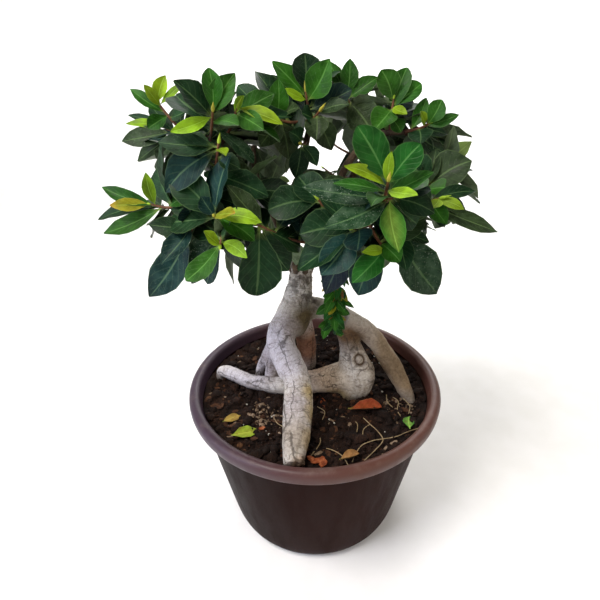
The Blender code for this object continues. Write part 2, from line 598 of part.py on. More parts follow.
def lay_out_sprays():
    """Twigs and leaves of every spray, none touching another spray or a branch."""
    clearance = Clearance()
    for name in BRANCHES:
        clearance.add(tube([tuple(p) for p in branch_run(name)], BRANCH_SIDES), name)
    sprays = {}
    for name, (branch, hub, _) in {**SPRAYS, **REAR_SPRAYS}.items():
        twig = twig_run(name, branch, hub, clearance)
        clearance.add(tube([(*p, TWIG_RADIUS) for p in twig], TWIG_SIDES), name)
        sprays[name] = {"twig": twig, "leaves": []}
    for name, (_, _, rows) in SPRAYS.items():
        for order, row in enumerate(rows):
            leaf = place_named_leaf(name, sprays[name]["twig"], order, row, clearance)
            keep_leaf(sprays, name, leaf, clearance)
    for name, (_, _, count) in REAR_SPRAYS.items():
        for order in range(count):
            leaf = place_ruled_leaf(name, sprays[name]["twig"], order, count, False, clearance)
            keep_leaf(sprays, name, leaf, clearance)
    for name in SPRAYS:
        for order in range(SPRAY_EXTRA_LEAVES):
            twig = sprays[name]["twig"]
            leaf = place_ruled_leaf(name, twig, order, SPRAY_EXTRA_LEAVES + 2, True, clearance)
            keep_leaf(sprays, name, leaf, clearance)
    return sprays


def keep_leaf(sprays, name, leaf, clearance):
    if leaf is None:
        print("no room for a leaf on", name)
        return
    sprays[name]["leaves"].append(leaf)
    clearance.add(leaf_shell(leaf), name)
    clearance.add(leaf_shell(leaf, 0, LEAF_OUTER), name + " outer")


def build_spray(name, spray, materials):
    """One spray: the twig with its leaves grown from it, as one closed body."""
    young = sum(leaf["kind"] in "lygGv" for leaf in spray["leaves"])
    kind = "leaf_green" if young * 2 > len(spray["leaves"]) else "leaf_dark"
    radii = (TWIG_RADIUS, TWIG_RADIUS * 0.95, TWIG_RADIUS * 0.8)
    twig = tube([(*p, r) for p, r in zip(spray["twig"], radii)], TWIG_SIDES)
    return grown(name, twig, spray["leaves"], materials[kind])


def grown(name, stem, leaves, material):
    """The stem united with its leaves one by one. A leaf whose join comes out open is moved a little."""
    made = add_object(name, *stem, material)
    for leaf in leaves:
        whole = made.data
        for nudge, solver in JOIN_TRIES:
            shell = leaf_shell({**leaf, "base": leaf["base"] + leaf["heading"] * nudge})
            blade = add_object(name + "_blade", *shell, None)
            grow = made.modifiers.new("grow", "BOOLEAN")
            grow.operation, grow.object, grow.solver = "UNION", blade, solver
            apply_modifiers(made)
            bpy.data.objects.remove(blade, do_unlink=True)
            if closed(made):
                break
            made.data = whole
        else:
            raise ValueError(name + " stays open")
    return made


def closed(made):
    """Whether the mesh is one body with no open edge."""
    probe = bmesh.new()
    probe.from_mesh(made.data)
    whole = bool(probe.verts) and all(edge.is_manifold for edge in probe.edges)
    waiting = list(probe.verts)[:1]
    reached = set(waiting)
    while waiting:
        for edge in waiting.pop().link_edges:
            for vertex in edge.verts:
                if vertex not in reached:
                    reached.add(vertex)
                    waiting.append(vertex)
    whole = whole and len(reached) == len(probe.verts)
    probe.free()
    return whole


def build_sucker(materials):
    """The thin leafy shoot that hangs from below the graft."""
    stem = [Vector(p[:3]) for p in SUCKER_STEM]
    leaves = []
    for order, (clock, length, towards, width) in enumerate(SUCKER_LEAVES):
        base = twig_point(stem, 2 + order * 4)
        wish = Vector((0, -1, 0.5))
        leaves.append(make_leaf(base, leaf_direction(clock, towards), wish, length, width, "g", 0))
    return grown("hanging_shoot", tube(SUCKER_STEM, TWIG_SIDES), leaves, materials["leaf_green"])


def build_litter(name, materials):
    """A fallen leaf, a plate lying on the soil with its ends curled up."""
    x, y, heading, length, width, curl, kind = LITTER[name]
    angle = math.radians(heading)
    ahead = Vector((math.cos(angle), math.sin(angle), 0))
    across = Vector((-math.sin(angle), math.cos(angle), 0))
    stations = ((-0.5, 0.10), (-0.25, 0.75), (0.05, 1.0), (0.32, 0.80), (0.5, 0.15))
    centres = [Vector((x, y, 0)) + ahead * share * length for share, _ in stations]
    floor = max(soil_height(*(c + across * s * width / 2)[:2]) for c in centres for s in (-1, 0, 1))
    verts, faces = [], []
    for centre, (share, breadth) in zip(centres, stations):
        lift = floor + GAP + 0.4 + curl * length * (2 * share) ** 2 * 0.5
        for a, b in ((-1, 0), (1, 0), (1, LEAF_THICKNESS), (-1, LEAF_THICKNESS)):
            point = centre + across * a * breadth * width / 2
            verts.append((point.x, point.y, lift + b))
    for k in range(len(stations) - 1):
        for j in range(4):
            n = (j + 1) % 4
            faces.append((4 * k + j, 4 * k + n, 4 * k + 4 + n, 4 * k + 4 + j))
    faces += [(3, 2, 1, 0), tuple(range(len(verts) - 4, len(verts)))]
    return add_object(name, verts, faces, materials[kind])


def main():
    clear_scene()
    materials = {name: make_material(name) for name in MATERIALS}
    build_pot(materials["pot_plastic"])
    soil = build_soil(materials["soil"])
    rootstock = build_rootstock(materials["root_bark"])
    cut_root_pockets(soil, rootstock)
    for name in BRANCHES:
        shell = tube([tuple(p) for p in branch_run(name)], BRANCH_SIDES)
        add_object(name, *shell, materials["branch_bark"])
    for name, spray in lay_out_sprays().items():
        build_spray(name, spray, materials)
    build_sucker(materials)
    for name in LITTER:
        build_litter(name, materials)


main()
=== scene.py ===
import json
import math
import random
from functools import partial

import bmesh
import bpy
from mathutils import Matrix, Vector, noise
from mathutils.bvhtree import BVHTree
from mathutils.kdtree import KDTree

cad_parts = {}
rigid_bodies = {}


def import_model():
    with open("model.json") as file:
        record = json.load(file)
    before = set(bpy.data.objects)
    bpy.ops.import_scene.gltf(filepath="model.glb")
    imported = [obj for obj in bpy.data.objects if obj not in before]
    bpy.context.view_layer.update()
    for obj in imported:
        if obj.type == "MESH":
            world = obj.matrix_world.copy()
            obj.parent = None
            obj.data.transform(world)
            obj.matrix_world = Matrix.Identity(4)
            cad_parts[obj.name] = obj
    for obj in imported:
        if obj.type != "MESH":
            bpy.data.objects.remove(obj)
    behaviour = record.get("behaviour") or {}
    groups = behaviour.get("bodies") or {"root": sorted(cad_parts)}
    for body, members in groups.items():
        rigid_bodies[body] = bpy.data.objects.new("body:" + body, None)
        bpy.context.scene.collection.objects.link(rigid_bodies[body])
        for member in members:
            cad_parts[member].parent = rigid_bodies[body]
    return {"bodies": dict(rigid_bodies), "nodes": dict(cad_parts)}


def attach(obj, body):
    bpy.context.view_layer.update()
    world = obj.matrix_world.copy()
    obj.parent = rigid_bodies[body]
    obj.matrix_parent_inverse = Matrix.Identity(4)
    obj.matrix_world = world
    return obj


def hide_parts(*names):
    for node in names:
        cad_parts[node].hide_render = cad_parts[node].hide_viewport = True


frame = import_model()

ownObjects = set(frame["nodes"].values()) | set(frame["bodies"].values())
for leftOver in [o for o in bpy.data.objects if o not in ownObjects]:
    bpy.data.objects.remove(leftOver)
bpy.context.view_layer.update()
mm = 0.001  # the plan below is in millimetres, the scene in metres
print("frame loaded,", len(frame["nodes"]), "nodes")


def toLinear(hexCode):
    channels = [int(hexCode[k:k + 2], 16) / 255 for k in (1, 3, 5)]
    return tuple(c / 12.92 if c <= 0.04045 else ((c + 0.055) / 1.055) ** 2.4 for c in channels) + (1.0,)


def feed(node, inputs):
    for name, value in inputs.items():
        if isinstance(value, bpy.types.NodeSocket):
            node.id_data.links.new(value, node.inputs[name])
        else:
            node.inputs[name].default_value = value


# Every shader node is added here, with its links, values, colour stops and settings. One output comes back.
def addNode(tree, kind, inputs=None, out=0, stops=(), **settings):
    node = tree.nodes.new("ShaderNode" + kind)
    for name, value in settings.items():
        setattr(node, name, value)
    feed(node, inputs or {})
    for order, (position, hexCode) in enumerate(stops):
        ramp = node.color_ramp.elements
        stop = ramp[order] if order < len(ramp) else ramp.new(1.0)
        stop.position, stop.color = position, toLinear(hexCode)
    return node.outputs[out]


def newMaterial(name):
    material = bpy.data.materials.new(name)
    material.use_nodes = True
    tree = material.node_tree
    return material, partial(addNode, tree), partial(feed, tree.nodes["Principled BSDF"])

# The tree's plan, in millimetres.
leafPlan = {"thickness": 0.8, "clearance": 0.5, "droop": 0.10, "outer": 0.36, "extraLeaves": 3,
            "stations": ((0.0, 0.12), (0.62, 1.0), (1.0, 0.30))}
branchPlan = {"sides": 8, "graftHeight": 250.2, "graftStep": 6.0, "steps": 4}
canopy = {"centre": (-4, 0, 295), "middle": (-5, 4, 300), "reach": (136, 122, 86), "viewer": (0, -296, 369),
          "gapPoint": (4.7, 0, 332), "gapRadius": 23.0, "gapShares": (0.4, 0.7, 1.0)}

rootLimbs = {
    "neck": [(-11, 7, 248, 9), (-12, 6, 232, 9.5), (-15, 3, 216, 12.5), (-18, 1, 204, 15),
             (-21, 2, 192, 13)],
    "front_root": [(-19, 0, 205, 13), (-27, -8, 194, 12), (-27, -16, 185, 11.5), (-21, -26, 175, 11.5),
                   (-14, -37, 166, 10.5), (-13, -49, 158, 11.5), (-13.5, -61, 152, 11.5),
                   (-14, -74, 147, 10.5), (-14.5, -86, 142, 8.8), (-14.5, -96, 138, 7.4)],
    "left_fork": [(-28, 6, 190, 8), (-39, 12, 168, 5), (-50, 15, 144, 3.6), (-54, 16, 124, 3.4)],
    "left_leg": [(-28, 4, 184, 8), (-37, 8, 158, 6.5), (-41, 9, 124, 7)],
    "hook_root": [(-89, 13, 125, 3.6), (-87, 13, 138, 4.8), (-77, 9, 139, 6.6), (-58, 0, 137, 6.4),
                  (-34, -7, 138, 7.8), (-6, -6, 140, 10), (14, -4, 143, 12.5), (30, -6, 147, 15.5)],
    "bulk": [(24, 1, 199, 9), (27, 1, 186, 8.4), (31, -1, 173, 10), (34, -4, 161, 14), (36, -6, 150, 16.5),
             (35, -7, 139, 15.5), (33, -7, 126, 12)],
    "arch": [(-13, 6, 207, 12), (5, 8, 208, 8.5), (24, 1, 202, 9)],
    "right_root": [(24, 0, 202, 8.6), (38, 1, 194, 8), (52, 2, 179, 8.2), (64, 2, 161, 8.2),
                   (73, -3, 146, 7.8), (79, -13, 136, 7), (83, -21, 128, 4.6)],
    "rear_root": [(-14, 10, 200, 10), (-9, 22, 172, 9), (-7, 28, 148, 8), (-6, 30, 122, 8)],
}

# Grafted branches: each is a run of (x, y, z, radius), from the graft outwards.
branchTable = {
    "branch_right_top": [(-1.6, 10.4, 2.8), (12, 9, 284, 2.7), (20, 5, 318, 2.6), (38, 1, 340, 2.2),
                         (58, -4, 344, 1.8)],
    "branch_back_right": [(-6.8, 16.1, 2.8), (14, 34, 282, 2.7), (34, 52, 312, 2.4), (52, 62, 332, 1.8)],
    "branch_top": [(-14.4, 16.4, 2.8), (-13, 15, 284, 2.7), (-9, 10, 320, 2.5), (-3, 5, 350, 1.9)],
    "branch_back_left": [(-20.1, 11.2, 2.8), (-34, 34, 280, 2.7), (-48, 52, 306, 2.4), (-50, 62, 328, 1.8)],
    "branch_left": [(-20.4, 3.6, 2.8), (-36, 4, 276, 2.7), (-52, -6, 308, 2.6), (-64, -14, 332, 2.2),
                    (-82, -8, 342, 1.8)],
    "branch_left_front": [(-15.2, -2.1, 2.8), (-30, -16, 270, 2.7), (-48, -32, 290, 2.6),
                          (-62, -40, 300, 2.2), (-84, -40, 304, 1.8)],
    "branch_front": [(-7.6, -2.4, 2.8), (2, -22, 268, 2.7), (18, -40, 284, 2.6), (32, -52, 298, 2.2),
                     (38, -66, 314, 1.8)],
    "branch_right": [(-1.9, 2.8, 2.8), (18, -8, 274, 2.7), (40, -20, 292, 2.6), (60, -28, 304, 2.0)],
}

# Named sprays: branch, hub (x, y, z), and leaves as (clock angle seen from the front, length, angle towards
# the viewer, width, kind). Kinds: l lime, y yellowing, g green, G bright green, v pale edged, d dark, D dusty
# dark, o olive grey, b dark green with a painted bluish sky reflection, B dark green with a painted blue sky
# reflection, t dark green with a painted teal sky reflection.
sprayTable = {
    "leaves_tip_left": ("branch_left", (-99, -5, 361), [
        (65, 17, 0, 8, "l"), (35, 21, 5, 5, "l"), (110, 13, 30, 7, "l"), (150, 17, 0, 7, "g"),
        (-110, 17, 40, 8, "g"), (-10, 20, 25, 9, "d")]),
    "leaves_far_left": ("branch_left", (-98, 0, 346), [
        (170, 26, 10, 6, "l"), (160, 27, -10, 5, "d"), (-170, 28, 20, 12, "o"), (-145, 31, 0, 8, "o"),
        (125, 23, -30, 9, "d")]),
    "leaves_upper_left": ("branch_left", (-56, -45, 358), [
        (88, 19, 0, 9, "g"), (55, 21, -5, 11, "g"), (135, 21, 15, 14, "d"), (-160, 26, 25, 7, "l"),
        (-15, 20, 45, 9, "g")]),
    "leaves_upper_left_inner": ("branch_left", (-44, -35, 359), [
        (-10, 29, 20, 8, "l"), (-28, 23, 45, 10, "g"), (22, 22, -20, 11, "g"), (60, 10, 40, 5, "l")]),
    "leaves_left_big": ("branch_left_front", (-54, -48, 342), [
        (175, 31, 10, 12, "d"), (-145, 40, 10, 16, "b"), (-30, 14, 60, 6, "l"), (-45, 16, 15, 9, "d"),
        (-160, 35, -25, 10, "d")]),
    "leaves_left_low": ("branch_left_front", (-102, -40, 306), [
        (172, 24, 25, 8, "y"), (155, 29, 0, 8, "g"), (85, 20, 10, 7, "l"), (-155, 33, 15, 10, "g"),
        (-168, 44, -12, 9, "d"), (15, 24, 10, 8, "g")]),
    "leaves_left_hanging": ("branch_left_front", (-77, -50, 291), [
        (-130, 52, 8, 18, "b"), (160, 23, 10, 11, "d"), (-145, 25, 50, 12, "b"), (92, 22, -25, 15, "b")]),
    "leaves_low_left": ("branch_left_front", (-55, -68, 289), [
        (115, 15, 30, 7, "l"), (-140, 27, 22, 11, "g"), (-118, 30, -10, 10, "b"), (-10, 19, 30, 8, "l")]),
    "leaves_mid_left": ("branch_left_front", (-57, -66, 306), [
        (25, 20, 40, 9, "y"), (0, 28, 10, 9, "l"), (-32, 25, -8, 15, "g"), (130, 14, -35, 10, "b")]),
    "leaves_hanging_front": ("branch_front", (-35, -55, 298), [
        (-92, 44, 10, 23, "d"), (-62, 38, -10, 18, "d"), (115, 26, 15, 11, "o"), (-35, 34, -25, 18, "d")]),
    "leaves_inner_left": ("branch_left", (-42, -32, 313), [
        (5, 29, 15, 13, "d"), (140, 24, 10, 16, "b"), (95, 20, 30, 10, "o"), (-172, 24, -30, 15, "b")]),
    "leaves_top_left": ("branch_top", (-27, -15, 353), [
        (138, 27, -15, 12, "d"), (75, 20, 15, 11, "g"), (25, 20, 35, 8, "o"), (-60, 26, 5, 15, "o"),
        (-115, 18, 40, 13, "o")]),
    "leaves_top": ("branch_top", (-6, 5, 367), [
        (90, 20, 0, 16, "d"), (138, 25, 0, 13, "g"), (52, 23, 28, 15, "g"), (165, 19, 48, 6, "l"),
        (175, 27, -20, 12, "d"), (5, 27, 12, 13, "b")]),
    "leaves_top_front": ("branch_top", (3, -2, 356), [
        (20, 18, 25, 9, "o"), (-100, 18, 35, 13, "o"), (-70, 23, 5, 13, "o"), (-165, 15, -15, 10, "d")]),
    "leaves_top_right_inner": ("branch_right_top", (19, 15, 367), [
        (120, 20, -10, 8, "g"), (80, 18, 0, 10, "g"), (25, 22, 10, 10, "g"), (-50, 29, 32, 18, "o"),
        (-15, 21, 0, 10, "o"), (150, 15, 25, 7, "o")]),
    "leaves_top_right": ("branch_right_top", (50, 0, 363), [
        (118, 17, 15, 13, "g"), (30, 18, 0, 10, "g"), (-130, 24, 38, 14, "g"), (-45, 16, 55, 6, "l"),
        (70, 18, -5, 11, "g"), (-70, 20, 20, 9, "g")]),
    "leaves_right_up": ("branch_right_top", (74, -5, 349), [
        (75, 14, 20, 10, "g"), (22, 17, 15, 7, "g"), (135, 14, 40, 6, "l"), (-135, 18, 50, 13, "d"),
        (-20, 14, -10, 9, "d"), (-50, 21, 0, 10, "d"), (100, 16, -20, 8, "g")]),
    "leaves_rosette": ("branch_front", (37, -82, 328), [
        (122, 28, 0, 14, "G"), (52, 21, 0, 12, "G"), (95, 17, 30, 5, "l"), (155, 26, 20, 6, "l"),
        (178, 25, -5, 7, "g"), (-12, 17, 40, 7, "l"), (14, 21, -5, 9, "g"), (-150, 18, 55, 9, "g")]),
    "leaves_right_dark": ("branch_front", (44, -66, 317), [
        (-18, 23, 12, 13, "d"), (-45, 23, -10, 14, "d"), (-86, 30, 42, 12, "v"), (170, 48, 8, 12, "D"),
        (-168, 42, 28, 14, "D")]),
    "leaves_right_round": ("branch_right", (76, -20, 315), [
        (38, 25, 18, 21, "o"), (140, 21, 0, 18, "d"), (88, 21, -15, 9, "o"), (0, 18, 50, 10, "g")]),
    "leaves_right_low": ("branch_right", (76, -42, 310), [
        (-160, 13, 55, 7, "l"), (-12, 17, 42, 6, "l"), (-72, 15, 30, 9, "g"), (5, 24, -15, 8, "d"),
        (-22, 42, 5, 12, "o"), (-130, 21, -5, 12, "d")]),
    "leaves_low_right": ("branch_right", (50, -56, 292), [
        (-50, 46, 8, 24, "D"), (-75, 22, 55, 12, "d"), (-10, 20, -5, 8, "d"), (150, 22, 10, 15, "b")]),
    "leaves_low_mid": ("branch_front", (43, -64, 284), [
        (-150, 27, 32, 13, "G"), (165, 18, 30, 6, "l"), (-118, 34, -5, 18, "b"), (-30, 14, 40, 10, "g")]),
    "leaves_low_front": ("branch_front", (22, -58, 296), [
        (-128, 31, 22, 18, "t"), (-145, 40, 0, 20, "d"), (-108, 50, -8, 17, "B"), (-75, 18, 60, 15, "b"),
        (-175, 36, -18, 19, "d")]),
    "leaves_gap": ("branch_top", (-9, -14, 338), [
        (-105, 21, 5, 11, "d"), (-50, 16, 0, 9, "d"), (150, 14, 20, 10, "d")]),
    "leaves_core": ("branch_front", (2, -45, 310), [
        (-175, 29, 12, 18, "d"), (-80, 20, 25, 17, "d"), (130, 18, -20, 17, "d")]),
}

# Sprays of the far side, numbered in this order: branch, hub and number of leaves, which are set by rule.
rearRows = (
    ("branch_left", (-96, 26, 322), 8), ("branch_left", (-70, 38, 343), 9),
    ("branch_back_left", (-80, 62, 300), 9), ("branch_back_left", (-46, 74, 330), 9),
    ("branch_top", (-28, 42, 352), 9), ("branch_back_left", (-40, 84, 290), 9),
    ("branch_back_right", (2, 84, 338), 9), ("branch_top", (4, 42, 358), 8),
    ("branch_back_right", (8, 90, 306), 9), ("branch_back_right", (42, 74, 342), 9),
    ("branch_back_right", (46, 84, 308), 9), ("branch_right_top", (78, 46, 336), 9),
    ("branch_back_right", (84, 52, 304), 9), ("branch_right_top", (48, 34, 353), 8),
    ("branch_right", (92, 14, 320), 8), ("branch_left", (-72, 14, 284), 8),
    ("branch_right", (64, 16, 284), 8),
)
rearTable = {f"leaves_rear_{number:02d}": row for number, row in enumerate(rearRows, 1)}

# The hanging shoot: its stem as (x, y, z, radius), and leaves as (clock angle, length, towards, width).
shootStem = [(13, -10, 257, 1.5), (16, -14, 240, 1.4), (15, -17, 222, 1.2), (14, -17, 207, 0.9)]
shootLeaves = [(-60, 15, 10, 6), (-115, 20, 15, 7), (-85, 15, 45, 6), (-20, 13, 10, 6), (-150, 17, 10, 7),
               (-45, 14, 40, 6), (-125, 18, 40, 6), (-70, 18, -20, 7)]

# Fallen leaves on the soil: centre (x, y), heading, length, width, curl upwards and slot.
litterTable = {
    "litter_yellow_green": (-55, -60, 20, 22, 12, 0.05, "litter_yellow"),
    "litter_orange": (42, -34, 12, 30, 12, 0.20, "litter_rust"),
    "litter_green": (76, -50, 80, 17, 9, 0.10, "litter_lime"),
    "litter_beige": (25, -85, 25, 17, 7, 0.25, "litter_beige"),
    "litter_yellow_brown": (-68, -44, 40, 17, 9, 0.12, "litter_beige"),
}


# The soil lies in low waves, with a slight mound round the roots.
soilBed = {"level": 131.0, "roughness": 1.3, "waviness": 0.7, "mound": 1.5, "moundX": -5,
           "moundSpread": 2500}


def soilHeight(x, y):
    waves = (math.sin(0.11 * x + 1.3) * math.cos(0.13 * y - 0.4) + 0.6 * math.sin(0.23 * x - 0.19 * y)
             + 0.4 * math.cos(0.37 * y + 0.29 * x + 2.0))
    mound = soilBed["mound"] * math.exp(-((x - soilBed["moundX"]) ** 2 + y ** 2) / soilBed["moundSpread"])
    return soilBed["level"] + soilBed["roughness"] * soilBed["waviness"] * waves + mound


def smoothRun(run, steps):
    points = [Vector(p) for p in run]
    points = [points[0]] + points + [points[-1]]
    out = []
    for a, b, c, d in zip(points, points[1:], points[2:], points[3:]):
        for k in range(steps):
            t = k / steps
            out.append(0.5 * (2 * b + (c - a) * t + (2 * a - 5 * b + 4 * c - d) * t * t
                              + (3 * b - a - 3 * c + d) * t ** 3))
    return out + [points[-1]]


def tube(run, sides):
    centres = [Vector(p[:3]) for p in run]
    verts, faces = [], []
    side = None
    for k, centre in enumerate(centres):
        ahead = centres[min(k + 1, len(centres) - 1)] - centres[max(k - 1, 0)]
        ahead.normalize()
        if side is None:
            side = ahead.orthogonal().normalized()
        side = (side - ahead * side.dot(ahead)).normalized()
        across = ahead.cross(side)
        for j in range(sides):
            angle = math.tau * j / sides
            verts.append(centre + (side * math.cos(angle) + across * math.sin(angle)) * run[k][3])
    for k in range(len(centres) - 1):
        for j in range(sides):
            n = (j + 1) % sides
            faces.append((k * sides + j, k * sides + n, (k + 1) * sides + n, (k + 1) * sides + j))
    faces.append(tuple(reversed(range(sides))))
    faces.append(tuple(range((len(centres) - 1) * sides, len(centres) * sides)))
    return verts, faces


def joined(shells):
    verts, faces = [], []
    for someVerts, someFaces in shells:
        faces += [tuple(i + len(verts) for i in face) for face in someFaces]
        verts += someVerts
    return verts, faces


def leafDirection(clock, towards):
    clock, towards = math.radians(clock), math.radians(towards)
    flat = math.cos(towards)
    return Vector((math.cos(clock) * flat, -math.sin(towards), math.sin(clock) * flat))


# Shells already placed. A leaf keeps clear of other sprays, and its outer part of its own spray's leaves.
class Clearance:

    def __init__(self):
        self.placed = []

    @staticmethod
    def bounds(verts):
        low = [min(v[i] for v in verts) for i in range(3)]
        high = [max(v[i] for v in verts) for i in range(3)]
        return low, high

    def hits(self, shell, spray, outerOf=None):
        low, high = self.bounds(shell[0])
        tree = None
        for other, otherLow, otherHigh, otherTree in self.placed:
            wanted = other == outerOf if outerOf else other != spray and not other.endswith("outer")
            if not wanted:
                continue
            if any(low[i] > otherHigh[i] or high[i] < otherLow[i] for i in range(3)):
                continue
            tree = tree or BVHTree.FromPolygons(*shell)
            if tree.overlap(otherTree):
                return True
        return False

    def add(self, shell, spray):
        self.placed.append((spray, *self.bounds(shell[0]), BVHTree.FromPolygons(*shell)))


def leafShell(leaf, grow=0.0, start=0.0):
    base, heading, facing, length = leaf["base"], leaf["heading"], leaf["facing"], leaf["length"]
    across = heading.cross(facing)
    half = leafPlan["thickness"] / 2 + grow
    verts, faces = [], []
    for share, breadth in leafPlan["stations"]:
        share = max(share, start)
        ahead = share * length + (grow if share == 1 else 0)
        centre = base + heading * ahead - facing * leafPlan["droop"] * length * share ** 2
        reach = across * (breadth * leaf["width"] / 2 + grow)
        for a, b in ((-1, -1), (1, -1), (1, 1), (-1, 1)):
            verts.append(centre + reach * a + facing * half * b)
    for k in range(len(leafPlan["stations"]) - 1):
        for j in range(4):
            n = (j + 1) % 4
            faces.append((4 * k + j, 4 * k + n, 4 * k + 4 + n, 4 * k + 4 + j))
    faces += [(3, 2, 1, 0), tuple(range(len(verts) - 4, len(verts)))]
    return verts, faces


def faced(heading, wish):
    normal = wish - heading * wish.dot(heading)
    if normal.length < 0.15:
        normal = heading.orthogonal()
    return normal.normalized()


def makeLeaf(base, heading, wish, length, width, kind, roll):
    facing = faced(heading, wish)
    facing.rotate(Matrix.Rotation(math.radians(roll), 3, heading))
    return {"base": base, "heading": heading, "facing": facing, "length": length, "width": width,
            "kind": kind}


def leafFits(leaf, spray, clearance):
    if clearance.hits(leafShell(leaf, leafPlan["clearance"]), spray):
        return False
    return not clearance.hits(leafShell(leaf, 0, leafPlan["outer"]), spray, spray + " outer")


# A listed leaf: where it leaves the twig, its size, and how each new try swings it round and shortens it.
namedRule = {"tries": 40, "youngStep": 1.6, "firstBack": 2.0, "backStep": 1.8, "upwards": 0.7,
             "reach": 1.06, "width": 1.15, "swing": 0.9, "shrink": 0.008, "roll": 12}


def placeNamedLeaf(spray, twig, order, row, clearance):
    rule = namedRule
    clock, length, towards, width, kind = row
    chance = random.Random(f"{spray}{order}")
    back = order * rule["youngStep"] if kind in "ly" else rule["firstBack"] + order * rule["backStep"]
    base = twigPoint(twig, back)
    wish = (Vector(canopy["viewer"]) - base).normalized() + Vector((0, 0, rule["upwards"]))
    for attempt in range(rule["tries"]):
        swing = attempt * rule["swing"]
        clockOff, towardsOff = chance.uniform(-1, 1) * swing, chance.uniform(-1, 1) * swing
        ahead = leafDirection(clock + clockOff, towards + towardsOff)
        blade = twig[-1] + ahead * length * rule["reach"] * (1 - attempt * rule["shrink"]) - base
        leaf = makeLeaf(base, blade.normalized(), wish, blade.length, width * rule["width"], kind,
                        chance.uniform(-rule["roll"] - swing, rule["roll"] + swing))
        if leafFits(leaf, spray, clearance):
            return leaf
    return None


# A leaf set by rule: leaves turn round the twig by the golden angle, and open and lengthen with age.
ageRule = {"tries": 30, "goldenAngle": 137.5, "back": 1.5, "ageBack": 16, "turnSwing": 14, "turnStep": 4,
           "opening": 30, "ageOpening": 66, "openingSwing": 14, "forward": -0.2, "length": 27,
           "ageLength": 20, "longer": (0.86, 1.12), "shrink": 0.012, "upwards": 1.1, "limeAge": 0.25,
           # Kind b in these lists is dark green with a painted bluish sky reflection.
           "youngAge": 0.6, "youngKinds": "gddob", "oldKinds": "ddDob", "width": (0.48, 0.58), "roll": 25}


def headingRound(axis, side, turn, opening):
    around = side.copy()
    around.rotate(Matrix.Rotation(turn, 3, axis))
    return (axis * math.cos(opening) + around * math.sin(opening)).normalized()


def outwardsAndUp(base):
    return (base - Vector(canopy["centre"])).normalized() + Vector((0, 0, ageRule["upwards"]))


def placeRuledLeaf(spray, twig, order, count, backwards, clearance):
    rule = ageRule
    chance = random.Random(f"{spray} ruled {order}")
    age = 1 - order / max(count - 1, 1)
    base = twigPoint(twig, rule["back"] + age * rule["ageBack"])
    axis = (twig[-1] - twig[-2]).normalized()
    side = axis.orthogonal().normalized()
    kinds = rule["youngKinds"] if age < rule["youngAge"] else rule["oldKinds"]
    for attempt in range(rule["tries"]):
        swing = chance.uniform(-1, 1) * (rule["turnSwing"] + attempt * rule["turnStep"])
        turn = math.radians(rule["goldenAngle"] * order + swing)
        opening = rule["opening"] + rule["ageOpening"] * age
        opening = math.radians(opening + chance.uniform(-rule["openingSwing"], rule["openingSwing"]))
        heading = headingRound(axis, side, turn, opening)
        if backwards and heading.y < rule["forward"]:
            heading.y = -heading.y
        length = (rule["length"] + rule["ageLength"] * age) * chance.uniform(*rule["longer"])
        length = length * (1 - attempt * rule["shrink"])
        kind = "l" if age < rule["limeAge"] and not backwards else chance.choice(kinds)
        width, roll = length * chance.uniform(*rule["width"]), chance.uniform(-rule["roll"], rule["roll"])
        leaf = makeLeaf(base, heading, outwardsAndUp(base), length, width, kind, roll)
        openAir = inCanopy(base + heading * length) and not inCrownGap(base, heading * length)
        if openAir and leafFits(leaf, spray, clearance):
            return leaf
    return None


def inCanopy(point):
    return sum(((p - m) / r) ** 2 for p, m, r in zip(point, canopy["middle"], canopy["reach"])) < 1


def inCrownGap(base, blade):
    line = (Vector(canopy["gapPoint"]) - Vector(canopy["viewer"])).normalized()
    for share in canopy["gapShares"]:
        away = base + blade * share - Vector(canopy["viewer"])
        if (away - line * away.dot(line)).length < canopy["gapRadius"]:
            return True
    return False


def twigPoint(twig, back):
    for near, far in zip(reversed(twig), reversed(twig[:-1])):
        step = (far - near).length
        if back <= step:
            return near.lerp(far, back / step)
        back -= step
    return twig[0].lerp(twig[1], twigPlan["deepest"])


def branchRun(name):
    start, *rest = branchTable[name]
    x, y, radius = start
    low = branchPlan["graftHeight"]
    run = [Vector((x, y, height, radius)) for height in (low, low + branchPlan["graftStep"])]
    return smoothRun(run + [Vector(p) for p in rest], branchPlan["steps"])


# A twig leaves its branch at the nearest point, sags a little, and bows more with each try.
twigPlan = {"radius": 1.3, "sides": 5, "gap": 0.4, "deepest": 0.2, "firstRing": 9, "overhead": 0.25,
            "tries": 60, "bow": 0.5, "middle": 0.55, "sag": -0.06, "bentTries": 30, "push": 0.05}


def twigRun(name, branch, hub, clearance):
    plan = twigPlan
    hub = Vector(hub)
    run = branchRun(branch)[plan["firstRing"]:]
    joint = min(run, key=lambda p: (Vector(p[:3]) - hub).length + plan["overhead"] * max(0, p[2] - hub.z))
    joint, radius = Vector(joint[:3]), joint[3]
    chance = random.Random(name)
    away = (hub - joint).normalized()
    for attempt in range(plan["tries"]):
        bow = Vector([chance.uniform(-1, 1) * attempt * plan["bow"] for _ in range(3)])
        middle = joint.lerp(hub, plan["middle"]) + Vector((0, 0, plan["sag"] * (hub - joint).length)) + bow
        leave = (middle - joint).normalized() if attempt < plan["bentTries"] else away
        start = joint + leave * (radius + plan["gap"] + plan["radius"] + attempt * plan["push"])
        twig = [start, middle, hub]
        shell = tube([(*p, plan["radius"] + plan["gap"]) for p in twig], plan["sides"])
        if not clearance.hits(shell, name):
            break
    else:
        print("twig in the way:", name)
    return twig


